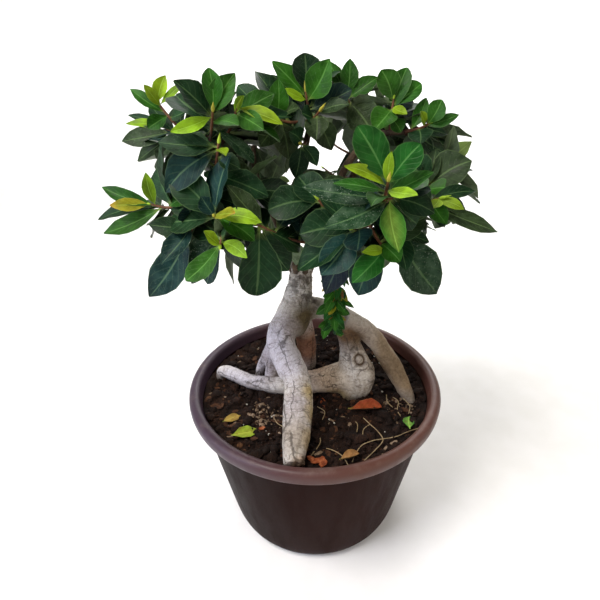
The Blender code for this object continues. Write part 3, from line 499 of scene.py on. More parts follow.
def layOutSprays():
    clearance = Clearance()
    for name in branchTable:
        clearance.add(tube([tuple(p) for p in branchRun(name)], branchPlan["sides"]), name)
    sprays = {}
    for name, (branch, hub, _) in {**sprayTable, **rearTable}.items():
        twig = twigRun(name, branch, hub, clearance)
        clearance.add(tube([(*p, twigPlan["radius"]) for p in twig], twigPlan["sides"]), name)
        sprays[name] = {"twig": twig, "leaves": []}
    for name, (_, _, rows) in sprayTable.items():
        for order, row in enumerate(rows):
            leaf = placeNamedLeaf(name, sprays[name]["twig"], order, row, clearance)
            keepLeaf(sprays, name, leaf, clearance)
    extra = leafPlan["extraLeaves"]
    ruled = [(name, count, count, False) for name, (_, _, count) in rearTable.items()]
    ruled += [(name, extra, extra + 2, True) for name in sprayTable]
    for name, leaves, count, backwards in ruled:
        for order in range(leaves):
            leaf = placeRuledLeaf(name, sprays[name]["twig"], order, count, backwards, clearance)
            keepLeaf(sprays, name, leaf, clearance)
    return sprays


def keepLeaf(sprays, name, leaf, clearance):
    if leaf is None:
        print("no room for a leaf on", name)
        return
    sprays[name]["leaves"].append(leaf)
    clearance.add(leafShell(leaf), name)
    clearance.add(leafShell(leaf, 0, leafPlan["outer"]), name + " outer")


smoothly = {"interpolation_type": "SMOOTHSTEP"}
asColours = {"data_type": "RGBA"}
tinting = {"data_type": "RGBA", "blend_type": "MULTIPLY"}
times, plus, minus, larger, timesPlus = [
    {"operation": word} for word in ("MULTIPLY", "ADD", "SUBTRACT", "MAXIMUM", "MULTIPLY_ADD")]

# Injection moulded polypropylene: almost matt dark brown below, with a satin lip that is dusty where it lies
# flat.
# The body is painted warmer on the right as painted warm light. The lip is painted lighter than the body,
# partly as painted sheen, from mauve on the left, a painted cool reflection, to red-brown on the right,
# painted warm light.
plasticLook = {"body": "#140807", "bodyPaintedWarmLight": "#24100b", "lip": "#52332a", "lipPaintedCoolReflection": "#382a36",
               "dust": "#7a6a60", "dustiness": 0.34, "lipFrom": 0.1318, "lipBlend": 0.0014,
               "peelPerMetre": 1100.0, "scuffPerMetre": 90.0, "drawnOut": 0.16}


def mouldedPolypropylene():
    look = plasticLook
    material, add, surface = newMaterial("mouldedPolypropylene")
    place = add("TexCoord", out="Object")
    across = add("SeparateXYZ", {0: place})
    drawn = add("Mapping", {"Vector": place, "Scale": (1, 1, look["drawnOut"])})
    scuffs = {"Vector": drawn, "Scale": look["scuffPerMetre"], "Detail": 8.0, "Roughness": 0.7}
    scuff = add("TexNoise", scuffs)
    peel = add("TexNoise", {"Vector": place, "Scale": look["peelPerMetre"], "Detail": 2.0})
    # Painted light: across x the body and the lip go from a painted cool left side to a painted warm lit
    # right side.
    side = add("MapRange", {0: across, 1: -0.10, 2: 0.04}, **smoothly)
    body = add("Mix", {0: side, 6: toLinear(look["body"]), 7: toLinear(look["bodyPaintedWarmLight"])}, 2, **asColours)
    lip = add("Mix", {0: side, 6: toLinear(look["lipPaintedCoolReflection"]), 7: toLinear(look["lip"])}, 2, **asColours)
    height, lipTo = across.node.outputs[2], look["lipFrom"] + look["lipBlend"]
    onLip = add("MapRange", {0: height, 1: look["lipFrom"], 2: lipTo}, **smoothly)
    colour = add("Mix", {0: onLip, 6: body, 7: lip}, 2, **asColours)
    upwards = add("SeparateXYZ", {0: add("NewGeometry", out="Normal")}, 2)
    level = add("MapRange", {0: upwards, 1: 0.2, 2: 0.95, 4: look["dustiness"]}, **smoothly)
    dusty = add("Math", {0: level, 1: add("MapRange", {0: scuff, 1: 0.45, 2: 0.75}, **smoothly)}, **times)
    colour = add("Mix", {0: dusty, 6: colour, 7: toLinear(look["dust"])}, 2, **asColours)
    relief = add("Math", {0: peel, 1: add("Math", {0: scuff, 1: 0.8}, **times)}, **plus)
    surface({"Base Color": colour, "IOR": 1.49,
             "Specular IOR Level": add("MapRange", {0: onLip, 3: 0.02, 4: 0.3}),
             "Roughness": add("MapRange", {0: scuff, 1: 0.3, 2: 0.75, 3: 0.36, 4: 0.54}, **smoothly),
             "Normal": add("Bump", {"Height": relief, "Strength": 0.16, "Distance": 0.0004})})
    return material


# Weathered ficus root bark: chalky grey skin with hair-fine cracks round the root and long fissures along it.
# Fissures, rings and craze are each a width, a length, how far they wander, and their share of a cell.
rootBarkLook = {"pale": "#cfcac2", "mid": "#b0a89e", "deep": "#82776a", "crack": "#352c24",
                "grime": "#4a3c2f", "fissures": (13.0, 90.0, 7.0, 0.040), "rings": (16.0, 4.4, 6.0, 0.060),
                "craze": (2.6, 4.2, 2.0, 0.10)}


def weatheredRootBark():
    look = rootBarkLook
    material, add, surface = newMaterial("weatheredRootBark")
    grain = add("Attribute", out="Vector", attribute_name="grain")
    clean = add("Attribute", out="Fac", attribute_name="clean")
    rugged = add("Attribute", out="Fac", attribute_name="rugged")
    stainAndPaintedLight = add("Attribute", out="Color", attribute_name="stainAndPaintedLight")
    place = add("TexCoord", out="Object")
    height = add("SeparateXYZ", {0: place}, 2)
    wobble = add("TexNoise", {"Vector": grain, "Scale": 0.12, "Detail": 4.0, "Roughness": 0.55}, 1)
    patch = add("TexNoise", {"Vector": place, "Scale": 50.0, "Detail": 5.0, "Roughness": 0.55})
    wear = add("TexNoise", {"Vector": place, "Scale": 110.0, "Detail": 4.0, "Roughness": 0.55})
    speckle = add("TexNoise", {"Vector": place, "Scale": 520.0, "Detail": 4.0, "Roughness": 0.65})
    lines = {}
    for name in ("fissures", "rings", "craze"):
        wide, long, wander, thin = look[name]
        bent = add("VectorMath", {0: wobble, 1: (wander,) * 3, 2: grain}, **timesPlus)
        spread = add("Mapping", {"Vector": bent, "Scale": (1 / wide, 1 / wide, 1 / long)})
        edge = add("TexVoronoi", {"Vector": spread, "Scale": 1.0}, feature="DISTANCE_TO_EDGE")
        lines[name] = add("MapRange", {0: edge, 1: thin * 0.3, 2: thin, 3: 1.0, 4: 0.0}, **smoothly)

    broad, fine = add("Math", {0: patch, 1: 0.55}, **times), add("Math", {0: speckle, 1: 0.45}, **times)
    tone = add("Math", {0: broad, 1: fine}, **plus)
    stops = ((0.36, look["deep"]), (0.46, look["mid"]), (0.58, look["pale"]))
    colour = add("ValToRGB", {0: tone}, stops=stops)
    # The vertex tint is real stains plus painted light: painted shadow under the arch and painted cool light
    # on the left sides.
    stainedAndLit = add("Mix", {0: 1.0, 6: colour, 7: stainAndPaintedLight}, 2, **tinting)
    colour = add("Mix", {0: stainAndPaintedLight.node.outputs["Alpha"], 6: colour, 7: stainedAndLit}, 2, **asColours)
    low = add("MapRange", {0: height, 1: 0.142, 2: 0.133}, **smoothly)
    patchy = add("MapRange", {0: patch, 1: 0.4, 2: 0.6, 3: 0.25, 4: 0.8}, **smoothly)
    grimy = add("Math", {0: low, 1: patchy}, **times)
    colour = add("Mix", {0: grimy, 6: colour, 7: toLinear(look["grime"])}, 2, **asColours)
    shares = {"fissures": add("MapRange", {0: wear, 1: 0.36, 2: 0.55}, **smoothly),
              "rings": add("MapRange", {0: wear, 1: 0.40, 2: 0.58, 3: 0.08, 4: 0.72}, **smoothly),
              "craze": add("MapRange", {0: patch, 1: 0.45, 2: 0.66, 3: 0.0, 4: 0.30}, **smoothly)}
    cracked = 0.0
    for name, share in shares.items():
        cracked = add("Math", {0: cracked, 1: add("Math", {0: lines[name], 1: share}, **times)}, **larger)
    cracked = add("Math", {0: cracked, 1: clean}, **times)
    broken = add("MapRange", {0: wear, 1: 0.54, 2: 0.44, 3: 0.0, 4: 0.95}, **smoothly)
    cracked = add("Math", {0: cracked, 1: add("Math", {0: rugged, 1: broken}, **times)}, **larger)
    dark = add("Math", {0: cracked, 1: 0.74}, **times)
    colour = add("Mix", {0: dark, 6: colour, 7: toLinear(look["crack"])}, 2, **asColours)
    relief = add("Math", {0: add("Math", {0: speckle, 1: 0.55}, **times), 1: cracked}, **minus)
    surface({"Base Color": colour, "IOR": 1.45, "Specular IOR Level": 0.3,
             "Roughness": add("MapRange", {0: speckle, 1: 0.3, 2: 0.7, 3: 0.66, 4: 0.88}, **smoothly),
             "Normal": add("Bump", {"Height": relief, "Strength": 0.6, "Distance": 0.0008})})
    return material


# Young ficus bark on branches and twigs: thin brown skin with pale corky dots, redder towards the leaves.
def thinTwigBark(name, dark, light, dot):
    material, add, surface = newMaterial(name)
    place = add("TexCoord", out="Object")
    tone = add("TexNoise", {"Vector": place, "Scale": 160.0, "Detail": 5.0, "Roughness": 0.55})
    dots = add("TexVoronoi", {"Vector": place, "Scale": 520.0})
    share = add("MapRange", {0: tone, 1: 0.35, 2: 0.65}, **smoothly)
    colour = add("Mix", {0: share, 6: toLinear(dark), 7: toLinear(light)}, 2, **asColours)
    corky = add("MapRange", {0: dots, 1: 0.16, 2: 0.08, 4: 0.6}, **smoothly)
    colour = add("Mix", {0: corky, 6: colour, 7: toLinear(dot)}, 2, **asColours)
    surface({"Base Color": colour, "IOR": 1.45, "Specular IOR Level": 0.3,
             "Roughness": add("MapRange", {0: tone, 1: 0.3, 2: 0.7, 3: 0.55, 4: 0.75}, **smoothly),
             "Normal": add("Bump", {"Height": tone, "Strength": 0.4, "Distance": 0.0005})})
    return material


# Ficus leaf: a waxy leather with a soft gloss, a pale groove along the midrib, faint side veins, a thin pale
# edge and dust.
leafLook = {"dust": "#9aa692", "vein": "#7d9460", "blotch": "#6e4420", "sideVeins": 7.0, "veinSlant": 2.2}


def leafSkin(name, gloss, spots=0.0):
    look = leafLook
    material, add, surface = newMaterial(name)
    across = add("SeparateXYZ", {0: add("UVMap", uv_map="blade")})
    along = across.node.outputs[1]
    tint = add("Attribute", out="Color", attribute_name="tint")
    dust = add("Attribute", out="Fac", attribute_name="dust")
    place = add("TexCoord", out="Object")
    cloud = add("TexNoise", {"Vector": place, "Scale": 150.0, "Detail": 3.0, "Roughness": 0.55})
    fleck = add("TexNoise", {"Vector": place, "Scale": 900.0, "Detail": 2.0, "Roughness": 0.7})
    offRib = add("Math", {0: add("Math", {0: across, 1: 2.0, 2: -1.0}, **timesPlus)}, operation="ABSOLUTE")
    rib = add("MapRange", {0: offRib, 1: 0.025, 2: 0.085, 3: 1.0, 4: 0.0}, **smoothly)
    rim = add("MapRange", {0: offRib, 1: 0.93, 2: 0.99}, **smoothly)
    slant = add("Math", {0: offRib, 1: -look["veinSlant"] * math.tau}, **times)
    phase = add("Math", {0: along, 1: look["sideVeins"] * math.tau, 2: slant}, **timesPlus)
    veins = add("MapRange", {0: add("Math", {0: phase}, operation="SINE"), 1: 0.75, 2: 1.0}, **smoothly)
    mottle = add("MapRange", {0: cloud, 1: 0.3, 2: 0.7, 3: 0.68, 4: 1.24}, **smoothly)
    colour = add("Mix", {0: 1.0, 6: tint, 7: mottle}, 2, **tinting)
    paler = add("Mix", {0: 1.0, 6: tint, 7: (2.2, 2.2, 2.0, 1)}, 2, **tinting)
    paler = add("Mix", {0: 0.30, 6: paler, 7: toLinear(look["vein"])}, 2, **asColours)
    lines = add("Math", {0: rib, 1: 0.70}, **times)
    for line, share in ((veins, 0.13), (rim, 0.7)):
        lines = add("Math", {0: lines, 1: add("Math", {0: line, 1: share}, **times)}, **larger)
    colour = add("Mix", {0: lines, 6: colour, 7: paler}, 2, **asColours)
    powder = add("MapRange", {0: fleck, 1: 0.57, 2: 0.72, 4: 0.8}, **smoothly)
    film = add("MapRange", {0: cloud, 1: 0.40, 2: 0.75, 4: 0.22}, **smoothly)
    powder, film = [add("Math", {0: dust, 1: layer}, **times) for layer in (powder, film)]
    settled = add("Math", {0: powder, 1: film}, **larger)
    colour = add("Mix", {0: settled, 6: colour, 7: toLinear(look["dust"])}, 2, **asColours)
    if spots:
        decay = add("TexNoise", {"Vector": place, "Scale": 420.0, "Detail": 5.0, "Roughness": 0.55})
        blotch = add("MapRange", {0: decay, 1: 0.50, 2: 0.68, 4: spots}, **smoothly)
        colour = add("Mix", {0: blotch, 6: colour, 7: toLinear(look["blotch"])}, 2, **asColours)
    rough = add("MapRange", {0: cloud, 1: 0.3, 2: 0.7, 3: gloss, 4: gloss + 0.14}, **smoothly)
    grooves = add("Math", {0: rib, 1: -0.9, 2: add("Math", {0: veins, 1: -0.35}, **times)}, **timesPlus)
    relief = add("Math", {0: cloud, 1: 0.6, 2: grooves}, **timesPlus)
    surface({"Base Color": colour, "IOR": 1.45, "Specular IOR Level": 0.11,
             "Roughness": add("Math", {0: dust, 1: 0.2, 2: rough}, **timesPlus),
             "Normal": add("Bump", {"Height": relief, "Strength": 0.35, "Distance": 0.0006})})
    return material


# Compost, bark chips, perlite and dry root fibre: dull grains that differ in colour and coarseness.
def looseGrit(name, gritPerMetre, rough, spread, dark, middle, light):
    material, add, surface = newMaterial(name)
    place = add("TexCoord", out="Object")
    grit = add("TexNoise", {"Vector": place, "Scale": gritPerMetre, "Detail": 6.0, "Roughness": 0.7})
    clump = add("TexNoise", {"Vector": place, "Scale": 60.0, "Detail": 3.0, "Roughness": 0.55})
    tone = add("Math", {0: grit, 1: 0.6, 2: add("Math", {0: clump, 1: 0.4}, **times)}, **timesPlus)
    stops = ((round(0.5 - spread, 2), dark), (0.5, middle), (round(0.5 + spread, 2), light))
    surface({"Base Color": add("ValToRGB", {0: tone}, stops=stops), "IOR": 1.4, "Specular IOR Level": 0.3,
             "Roughness": rough,
             "Normal": add("Bump", {"Height": grit, "Strength": 0.8, "Distance": 0.0012})})
    return material


plastic = mouldedPolypropylene()
rootBark = weatheredRootBark()
branchBark = thinTwigBark("youngBranchBark", "#33261c", "#5c4a38", "#8d7d66")
twigBark = thinTwigBark("reddishTwigBark", "#4a2a1c", "#6f4a30", "#96785a")
waxyLeaf = leafSkin("waxyFicusLeaf", 0.34)
fallenLeaf = leafSkin("fallenLeafSkin", 0.5, 0.55)
# Peat compost, composted bark, pale coir, expanded perlite, dry root fibre and dry leaf: grains per metre,
# roughness, half the width of the colour ramp, and its dark, middle and light colours.
grits = {"peatCompost": (800.0, 0.92, 0.14, "#070402", "#1a0e08", "#352013"),
         "compostedBarkChip": (420.0, 0.92, 0.16, "#22130b", "#432a1b", "#68492f"),
         "paleCoirChip": (420.0, 0.92, 0.16, "#4b3a2b", "#74604c", "#a08b76"),
         "expandedPerlite": (900.0, 0.92, 0.16, "#a8a294", "#c9c4b8", "#e0ddd4"),
         "dryRootFibre": (500.0, 0.8, 0.16, "#6f5c40", "#978260", "#b8a580"),
         "dryLeafScrap": (380.0, 0.7, 0.16, "#4d2010", "#86411f", "#b0704a")}
soilMix = [looseGrit(name, *row) for name, row in grits.items()]
print("materials made")


def alone(piece):
    bpy.ops.object.select_all(action="DESELECT")
    piece.select_set(True)
    bpy.context.view_layer.objects.active = piece


def applyAll(piece):
    alone(piece)
    for modifier in list(piece.modifiers):
        bpy.ops.object.modifier_apply(modifier=modifier.name)


def pickVerts(piece, wanted):
    shape = bmesh.from_edit_mesh(piece.data)
    bpy.ops.mesh.select_all(action="DESELECT")
    for vert in shape.verts:
        if wanted(vert.co):
            vert.select = True
    shape.select_flush(True)
    bmesh.update_edit_mesh(piece.data)


def standFor(piece, node, slotName, materials, smoothBy=None):
    for material in materials:
        piece.data.materials.append(material)
    alone(piece)
    if smoothBy:
        bpy.ops.object.shade_smooth_by_angle(angle=math.radians(smoothBy))
    else:
        bpy.ops.object.shade_smooth()
    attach(piece, "root")
    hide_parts(node)


def meshPiece(name, verts, faces):
    mesh = bpy.data.meshes.new(name)
    mesh.from_pydata([Vector(v[:3]) * mm for v in verts], [], faces)
    piece = bpy.data.objects.new(name, mesh)
    bpy.context.scene.collection.objects.link(piece)
    return piece


# Bowls and discs are drawn from one ring: each step pulls the ring up and opens or closes it.
def ringedPiece(name, sides, profile, closeFirst, closeLast):
    bpy.ops.object.select_all(action="DESELECT")
    bpy.ops.mesh.primitive_circle_add(vertices=sides, radius=profile[0][0] * mm, location=(0, 0, 0),
                                      fill_type="TRIFAN" if closeFirst else "NOTHING")
    piece = bpy.context.object
    piece.name = name
    bpy.ops.object.mode_set(mode="EDIT")
    bpy.ops.mesh.select_all(action="SELECT")
    bpy.ops.transform.translate(value=(0, 0, profile[0][1] * mm))
    pickVerts(piece, lambda p: p.xy.length > profile[0][0] * mm * 0.5)
    for (radius, height), (nextRadius, nextHeight) in zip(profile, profile[1:]):
        rise = (0, 0, (nextHeight - height) * mm)
        bpy.ops.mesh.extrude_edges_move(TRANSFORM_OT_translate={"value": rise})
        grow = nextRadius / radius
        bpy.ops.transform.resize(value=(grow, grow, 1), center_override=(0, 0, nextHeight * mm))
    if closeLast:
        bpy.ops.mesh.merge(type="CENTER")
    bpy.ops.mesh.select_all(action="SELECT")
    bpy.ops.mesh.normals_make_consistent(inside=False)
    bpy.ops.object.mode_set(mode="OBJECT")
    return piece


# The pot: one ring taken round the foot, up the outside, over the rolled lip and down the inside.
potSize = {"height": 144.0, "bodyTopRadius": 102.0, "baseRadius": 81.0, "wall": 3.0, "lipHeight": 12.0,
           "lipStep": 2, "footHeight": 14, "footExtra": 2}
potLook = {"sides": 96, "foot": ((70, 0), (76, 1.2), (80.2, 5), (82.6, 11)), "bodyRings": 8, "smoothBy": 50,
           "inside": (125, 100, 75, 50, 25, 14),
           "lip": ((102.0, 130.6), (102.4, 131.9), (103.4, 132.4), (107.2, 132.5), (108.9, 133.2),
                   (109.6, 134.8), (109.95, 138), (109.9, 140.4), (108.9, 142.6), (107.2, 143.8),
                   (105.3, 144.0), (103.0, 143.6), (101.4, 142.2), (100.7, 140.0), (100.3, 136.5),
                   (99.4, 132.0)),
           "floor": ((77, 6), (70, 3.4), (66, 3.0), (30, 3.0), (6, 3.0))}


def innerRadius(height):
    size = potSize
    drop = size["height"] - size["lipHeight"] - size["lipStep"] - size["footHeight"]
    share = (height - size["footHeight"]) / drop
    low = size["baseRadius"] - size["wall"] + size["footExtra"]
    return low + (size["bodyTopRadius"] - size["wall"] - low) * max(share, 0)


def makePot():
    look = potLook
    rings = list(look["foot"])
    start, end = rings[-1], look["lip"][0]
    for k in range(1, look["bodyRings"]):
        rings.append(tuple(a + (b - a) * k / look["bodyRings"] for a, b in zip(start, end)))
    rings += look["lip"]
    rings += [(innerRadius(h), h) for h in look["inside"]]
    rings += look["floor"]
    pot = ringedPiece("pot_moulded", look["sides"], rings, True, True)
    finer = pot.modifiers.new("rounder", "SUBSURF")
    finer.levels = finer.render_levels = 1
    applyAll(pot)
    standFor(pot, "pot", "pot_plastic", [plastic], look["smoothBy"])


# Leaf patterns: each is cut from a grid, given an underside, and copied for every leaf. A pair is the place
# along the leaf and the breadth there.
bladeCuts = {
    "broad": ((0, 0.07), (0.09, 0.08), (0.20, 0.36), (0.36, 0.74), (0.54, 0.97), (0.71, 1.0), (0.85, 0.80),
              (0.94, 0.46), (0.985, 0.19), (1.0, 0.04)),
    "oval": ((0, 0.07), (0.09, 0.08), (0.20, 0.46), (0.36, 0.86), (0.50, 1.0), (0.66, 0.95), (0.80, 0.70),
             (0.91, 0.38), (0.97, 0.15), (1.0, 0.03)),
    "slim": ((0, 0.09), (0.08, 0.09), (0.18, 0.42), (0.32, 0.80), (0.46, 0.98), (0.62, 1.0), (0.76, 0.82),
             (0.88, 0.50), (0.96, 0.20), (1.0, 0.04)),
}


hair = 0.01  # a hair's breadth, on a pattern that is 1 long


def cutBlade(name, outline):
    rows = len(outline) - 1
    bpy.ops.object.select_all(action="DESELECT")
    bpy.ops.mesh.primitive_grid_add(x_subdivisions=4, y_subdivisions=rows, size=2, location=(0, 0, 0))
    blade = bpy.context.object
    blade.name = name
    bpy.ops.object.mode_set(mode="EDIT")
    bpy.ops.mesh.select_all(action="SELECT")
    # Each row is lifted out of the way until every row has its breadth, then set down in its place.
    for row, (_, breadth) in reversed(list(enumerate(outline))):
        level = -1 + 2 * row / rows
        pickVerts(blade, lambda p: abs(p.y - level) < hair and abs(p.z) < hair)
        bpy.ops.transform.resize(value=(breadth, 1, 1), center_override=(0, 0, 0))
        bpy.ops.transform.translate(value=(0, 0, 1 + row))
    for row, (along, _) in enumerate(outline):
        pickVerts(blade, lambda p: abs(p.z - 1 - row) < hair)
        bpy.ops.transform.translate(value=(0, along - (-1 + 2 * row / rows), -1 - row))
    bpy.ops.mesh.select_all(action="SELECT")
    bpy.ops.mesh.duplicate()
    bpy.ops.mesh.flip_normals()
    edge = {round(along, 4): breadth for along, breadth in outline}
    shape = bmesh.from_edit_mesh(blade.data)
    for vert in shape.verts:
        breadth = edge[round(vert.co.y, 4)]
        if abs(vert.co.x) > breadth - hair / 10 or not hair / 10 <= vert.co.y <= 1 - hair / 10:
            vert.select = False
    shape.select_flush_mode()
    bmesh.update_edit_mesh(blade.data)
    bpy.ops.transform.translate(value=(0, 0, -1))
    bpy.ops.mesh.select_all(action="SELECT")
    bpy.ops.mesh.remove_doubles(threshold=hair / 100)
    bpy.ops.object.mode_set(mode="OBJECT")
    points = [(v.co.x, v.co.y, v.co.z, v.co.x / edge[round(v.co.y, 4)]) for v in blade.data.vertices]
    faces = [tuple(face.vertices) for face in blade.data.polygons]
    under = [any(points[i][2] < -0.5 for i in face) for face in faces]
    bpy.data.objects.remove(blade)
    return {"points": points, "faces": faces, "under": under}


# Leaf colours by age: heart colour, rim colour and how dusty. The letters are those of the spray table.
# The b, B and t colours are dark green painted bluish as a painted sky reflection.
leafColours = {
    "l": ("#63800f", "#75951a", 0.03), "y": ("#6c7a16", "#80801c", 0.06), "g": ("#275710", "#1f480d", 0.06),
    "G": ("#1c5319", "#164614", 0.04), "v": ("#75953a", "#2c641c", 0.04), "d": ("#143318", "#102913", 0.08),
    # b, B and t: dark green with a painted bluish sky reflection.
    "D": ("#1b3b21", "#17331c", 0.50), "o": ("#283a1c", "#223118", 0.20), "b": ("#0f2c27", "#0c2421", 0.10),
    "B": ("#0d202d", "#0b1a27", 0.10), "t": ("#113530", "#0e2c28", 0.16), "r": ("#9a4826", "#7c331d", 0.06),
    "w": ("#8a7432", "#7a5f28", 0.08), "p": ("#a07a4c", "#8a6038", 0.12), "m": ("#98a030", "#7f9428", 0.05),
}
foliageLook = {"fold": 0.26, "folds": (0.3, 1.7), "wave": 0.06, "ripples": (1.6, 3.4), "twist": 0.22,
               "curl": 0.22, "curls": (-0.1, 1.1), "curlFrom": 0.45, "sweep": 0.07, "blade": 0.55,
               "stalk": 1.3, "stalkEnd": 0.12, "broader": 1.05, "youngShare": 0.9, "slimBelow": 0.36,
               "tones": (0.78, 1.22), "warmth": 0.10, "underside": "#8fa07a", "wornTip": "#a8702a",
               "stalkColour": "#8ea24e", "dustier": (0.4, 1.5), "rimAcross": 0.9, "rimAlong": 0.25,
               "wornFrom": 0.8, "wornShare": 3.0, "stalkFade": 0.14, "stalkShare": 0.7, "paleShare": 0.30}


# A sheaf gathers the shells of one piece: corners, faces, materials, and for foliage UV, tint and dust.
def newSheaf():
    return {"verts": [], "faces": [], "skin": [], "blade": [], "tint": [], "dust": []}


def addShell(sheaf, verts, faces, skin):
    first = len(sheaf["verts"])
    sheaf["verts"] += verts
    sheaf["faces"] += [tuple(i + first for i in face) for face in faces]
    sheaf["skin"] += [skin] * len(faces)


def addPart(sheaf, verts, faces, skin, blade, tint, dust):
    addShell(sheaf, verts, faces, skin)
    corners = sum(len(face) for face in faces)
    sheaf["blade"] += blade or [(0.25, 0.5)] * corners
    sheaf["tint"] += tint or [(0.2, 0.2, 0.2, 1)] * corners
    sheaf["dust"] += [dust] * len(verts)


def blendColour(first, second, share):
    return tuple(a + (b - a) * share for a, b in zip(first, second))


def addLeaf(sheaf, leaf, chance, look=foliageLook, skin=0, cut=None):
    heart, rim, dust = leafColours[leaf["kind"]]
    heart, rim = toLinear(heart), toLinear(rim)
    tone = chance.uniform(*look["tones"])
    warm = chance.uniform(-look["warmth"], look["warmth"])
    shift = (tone * (1 + warm), tone, tone * (1 - warm * 0.6), 1)
    heart, rim = [tuple(c * s for c, s in zip(colour, shift)) for colour in (heart, rim)]
    slim = leaf["width"] < leaf["length"] * look["slimBelow"] or leaf["kind"] in "ly"
    pattern = blades[cut or ("slim" if slim else chance.choice(("broad", "oval", "oval")))]
    heading, facing, length = leaf["heading"], leaf["facing"], leaf["length"]
    half = leaf["width"] / 2 * look["broader"]
    if leaf["kind"] in "ly":
        length, half = length * look["youngShare"], half * look["youngShare"]
    fold = look["fold"] * chance.uniform(*look["folds"])
    twist = look["twist"] * chance.uniform(-1, 1)
    curl = look["curl"] * chance.uniform(*look["curls"])
    sweep = chance.uniform(-look["sweep"], look["sweep"])
    phase, ripples = chance.uniform(0, math.tau), chance.uniform(*look["ripples"])
    verts = []
    for x, along, depth, across in pattern["points"]:
        turn = twist * along
        side = heading.cross(facing)
        lean = side * math.cos(turn) + facing * math.sin(turn)
        up = facing * math.cos(turn) - side * math.sin(turn)
        drop = leafPlan["droop"] * along ** 2 + curl * max(0, along - look["curlFrom"]) ** 2
        stalked = max(0, 1 - along / look["stalkEnd"])
        ripple = math.sin(along * ripples * math.tau + phase + across)
        lift = abs(x) * half * fold + look["wave"] * half * abs(across) * ripple
        thick = look["stalk"] * stalked + look["blade"] * (1 - 0.5 * abs(across)) * (1 - stalked)
        verts.append(leaf["base"] + heading * (along * length) - facing * (drop * length)
                     + lean * (x * half + sweep * length * math.sin(along * math.pi))
                     + up * (lift + depth * thick))
    blade, tint = [], []
    pale, worn, stalk = [toLinear(look[name]) for name in ("underside", "wornTip", "stalkColour")]
    for face, isUnder in zip(pattern["faces"], pattern["under"]):
        for i in face:
            _, along, _, across = pattern["points"][i]
            blade.append((0.5 + across / 2, along))
            share = min(1, abs(across) * look["rimAcross"] + along * look["rimAlong"])
            colour = blendColour(heart, rim, share)
            if leaf["kind"] == "y":
                colour = blendColour(colour, worn, max(0, along - look["wornFrom"]) * look["wornShare"])
            colour = blendColour(colour, stalk, max(0, 1 - along / look["stalkFade"]) * look["stalkShare"])
            tint.append(blendColour(colour, pale, look["paleShare"]) if isUnder else colour)
    addPart(sheaf, verts, pattern["faces"], skin, blade, tint, dust * chance.uniform(*look["dustier"]))


# The bud at a twig's tip: a pointed spindle, as shares of its length and radius.
budLook = {"length": 7.0, "longer": (0.7, 1.2), "radius": 1.1, "lean": 0.3, "sides": 6,
           "shares": ((0, 0.75), (0.25, 1.0), (0.6, 0.62), (1.0, 0.08)),
           "colours": ("#9db53a", "#8fae32", "#a8a040")}


def addBud(sheaf, tip, ahead, chance):
    look = budLook
    ahead = (ahead + Vector([chance.uniform(-look["lean"], look["lean"]) for _ in range(3)])).normalized()
    length = look["length"] * chance.uniform(*look["longer"])
    run = [(*(tip + ahead * (length * s)), look["radius"] * r) for s, r in look["shares"]]
    verts, faces = tube(run, look["sides"])
    colour = toLinear(chance.choice(look["colours"]))
    addPart(sheaf, verts, faces, 0, None, [colour] * sum(len(face) for face in faces), 0)


def finishSheaf(sheaf, name, node, slotName, skins, smoothBy=60):
    piece = meshPiece(name, sheaf["verts"], sheaf["faces"])
    mesh = piece.data
    mesh.polygons.foreach_set("material_index", sheaf["skin"])
    layer = mesh.uv_layers.new(name="blade")
    layer.data.foreach_set("uv", [c for uv in sheaf["blade"] for c in uv])
    tint = mesh.color_attributes.new("tint", "FLOAT_COLOR", "CORNER")
    tint.data.foreach_set("color", [c for colour in sheaf["tint"] for c in colour])
    dust = mesh.attributes.new("dust", "FLOAT", "POINT")
    dust.data.foreach_set("value", sheaf["dust"])
    standFor(piece, node, slotName, skins, smoothBy)


# Leaves that fill out a spray, and the spray's twig, which runs on into its branch.
fillerLook = {"count": 7, "back": 2, "backStep": 5, "opening": (45, 100), "length": (24, 36),
              # Kind b here is dark green with a painted bluish sky reflection.
              "width": (0.46, 0.56), "roll": (-25, 25), "kinds": "ddbdo", "behind": 0.1}
sprayTwig = {"sides": 7, "steps": 5, "tipRadius": 0.7, "sunk": 3.0, "dust": 0.1}


def fillerLeaf(twig, order, backwards, chance):
    look = fillerLook
    base = twigPoint(twig, look["back"] + order * look["backStep"])
    axis = (twig[-1] - twig[-2]).normalized()
    turn, opening = chance.uniform(0, math.tau), math.radians(chance.uniform(*look["opening"]))
    heading = headingRound(axis, axis.orthogonal().normalized(), turn, opening)
    if backwards and heading.y < look["behind"]:
        heading.y = abs(heading.y) + look["behind"]
        heading.normalize()
    length = chance.uniform(*look["length"])
    return makeLeaf(base, heading, outwardsAndUp(base), length, length * chance.uniform(*look["width"]),
                    chance.choice(look["kinds"]), chance.uniform(*look["roll"]))


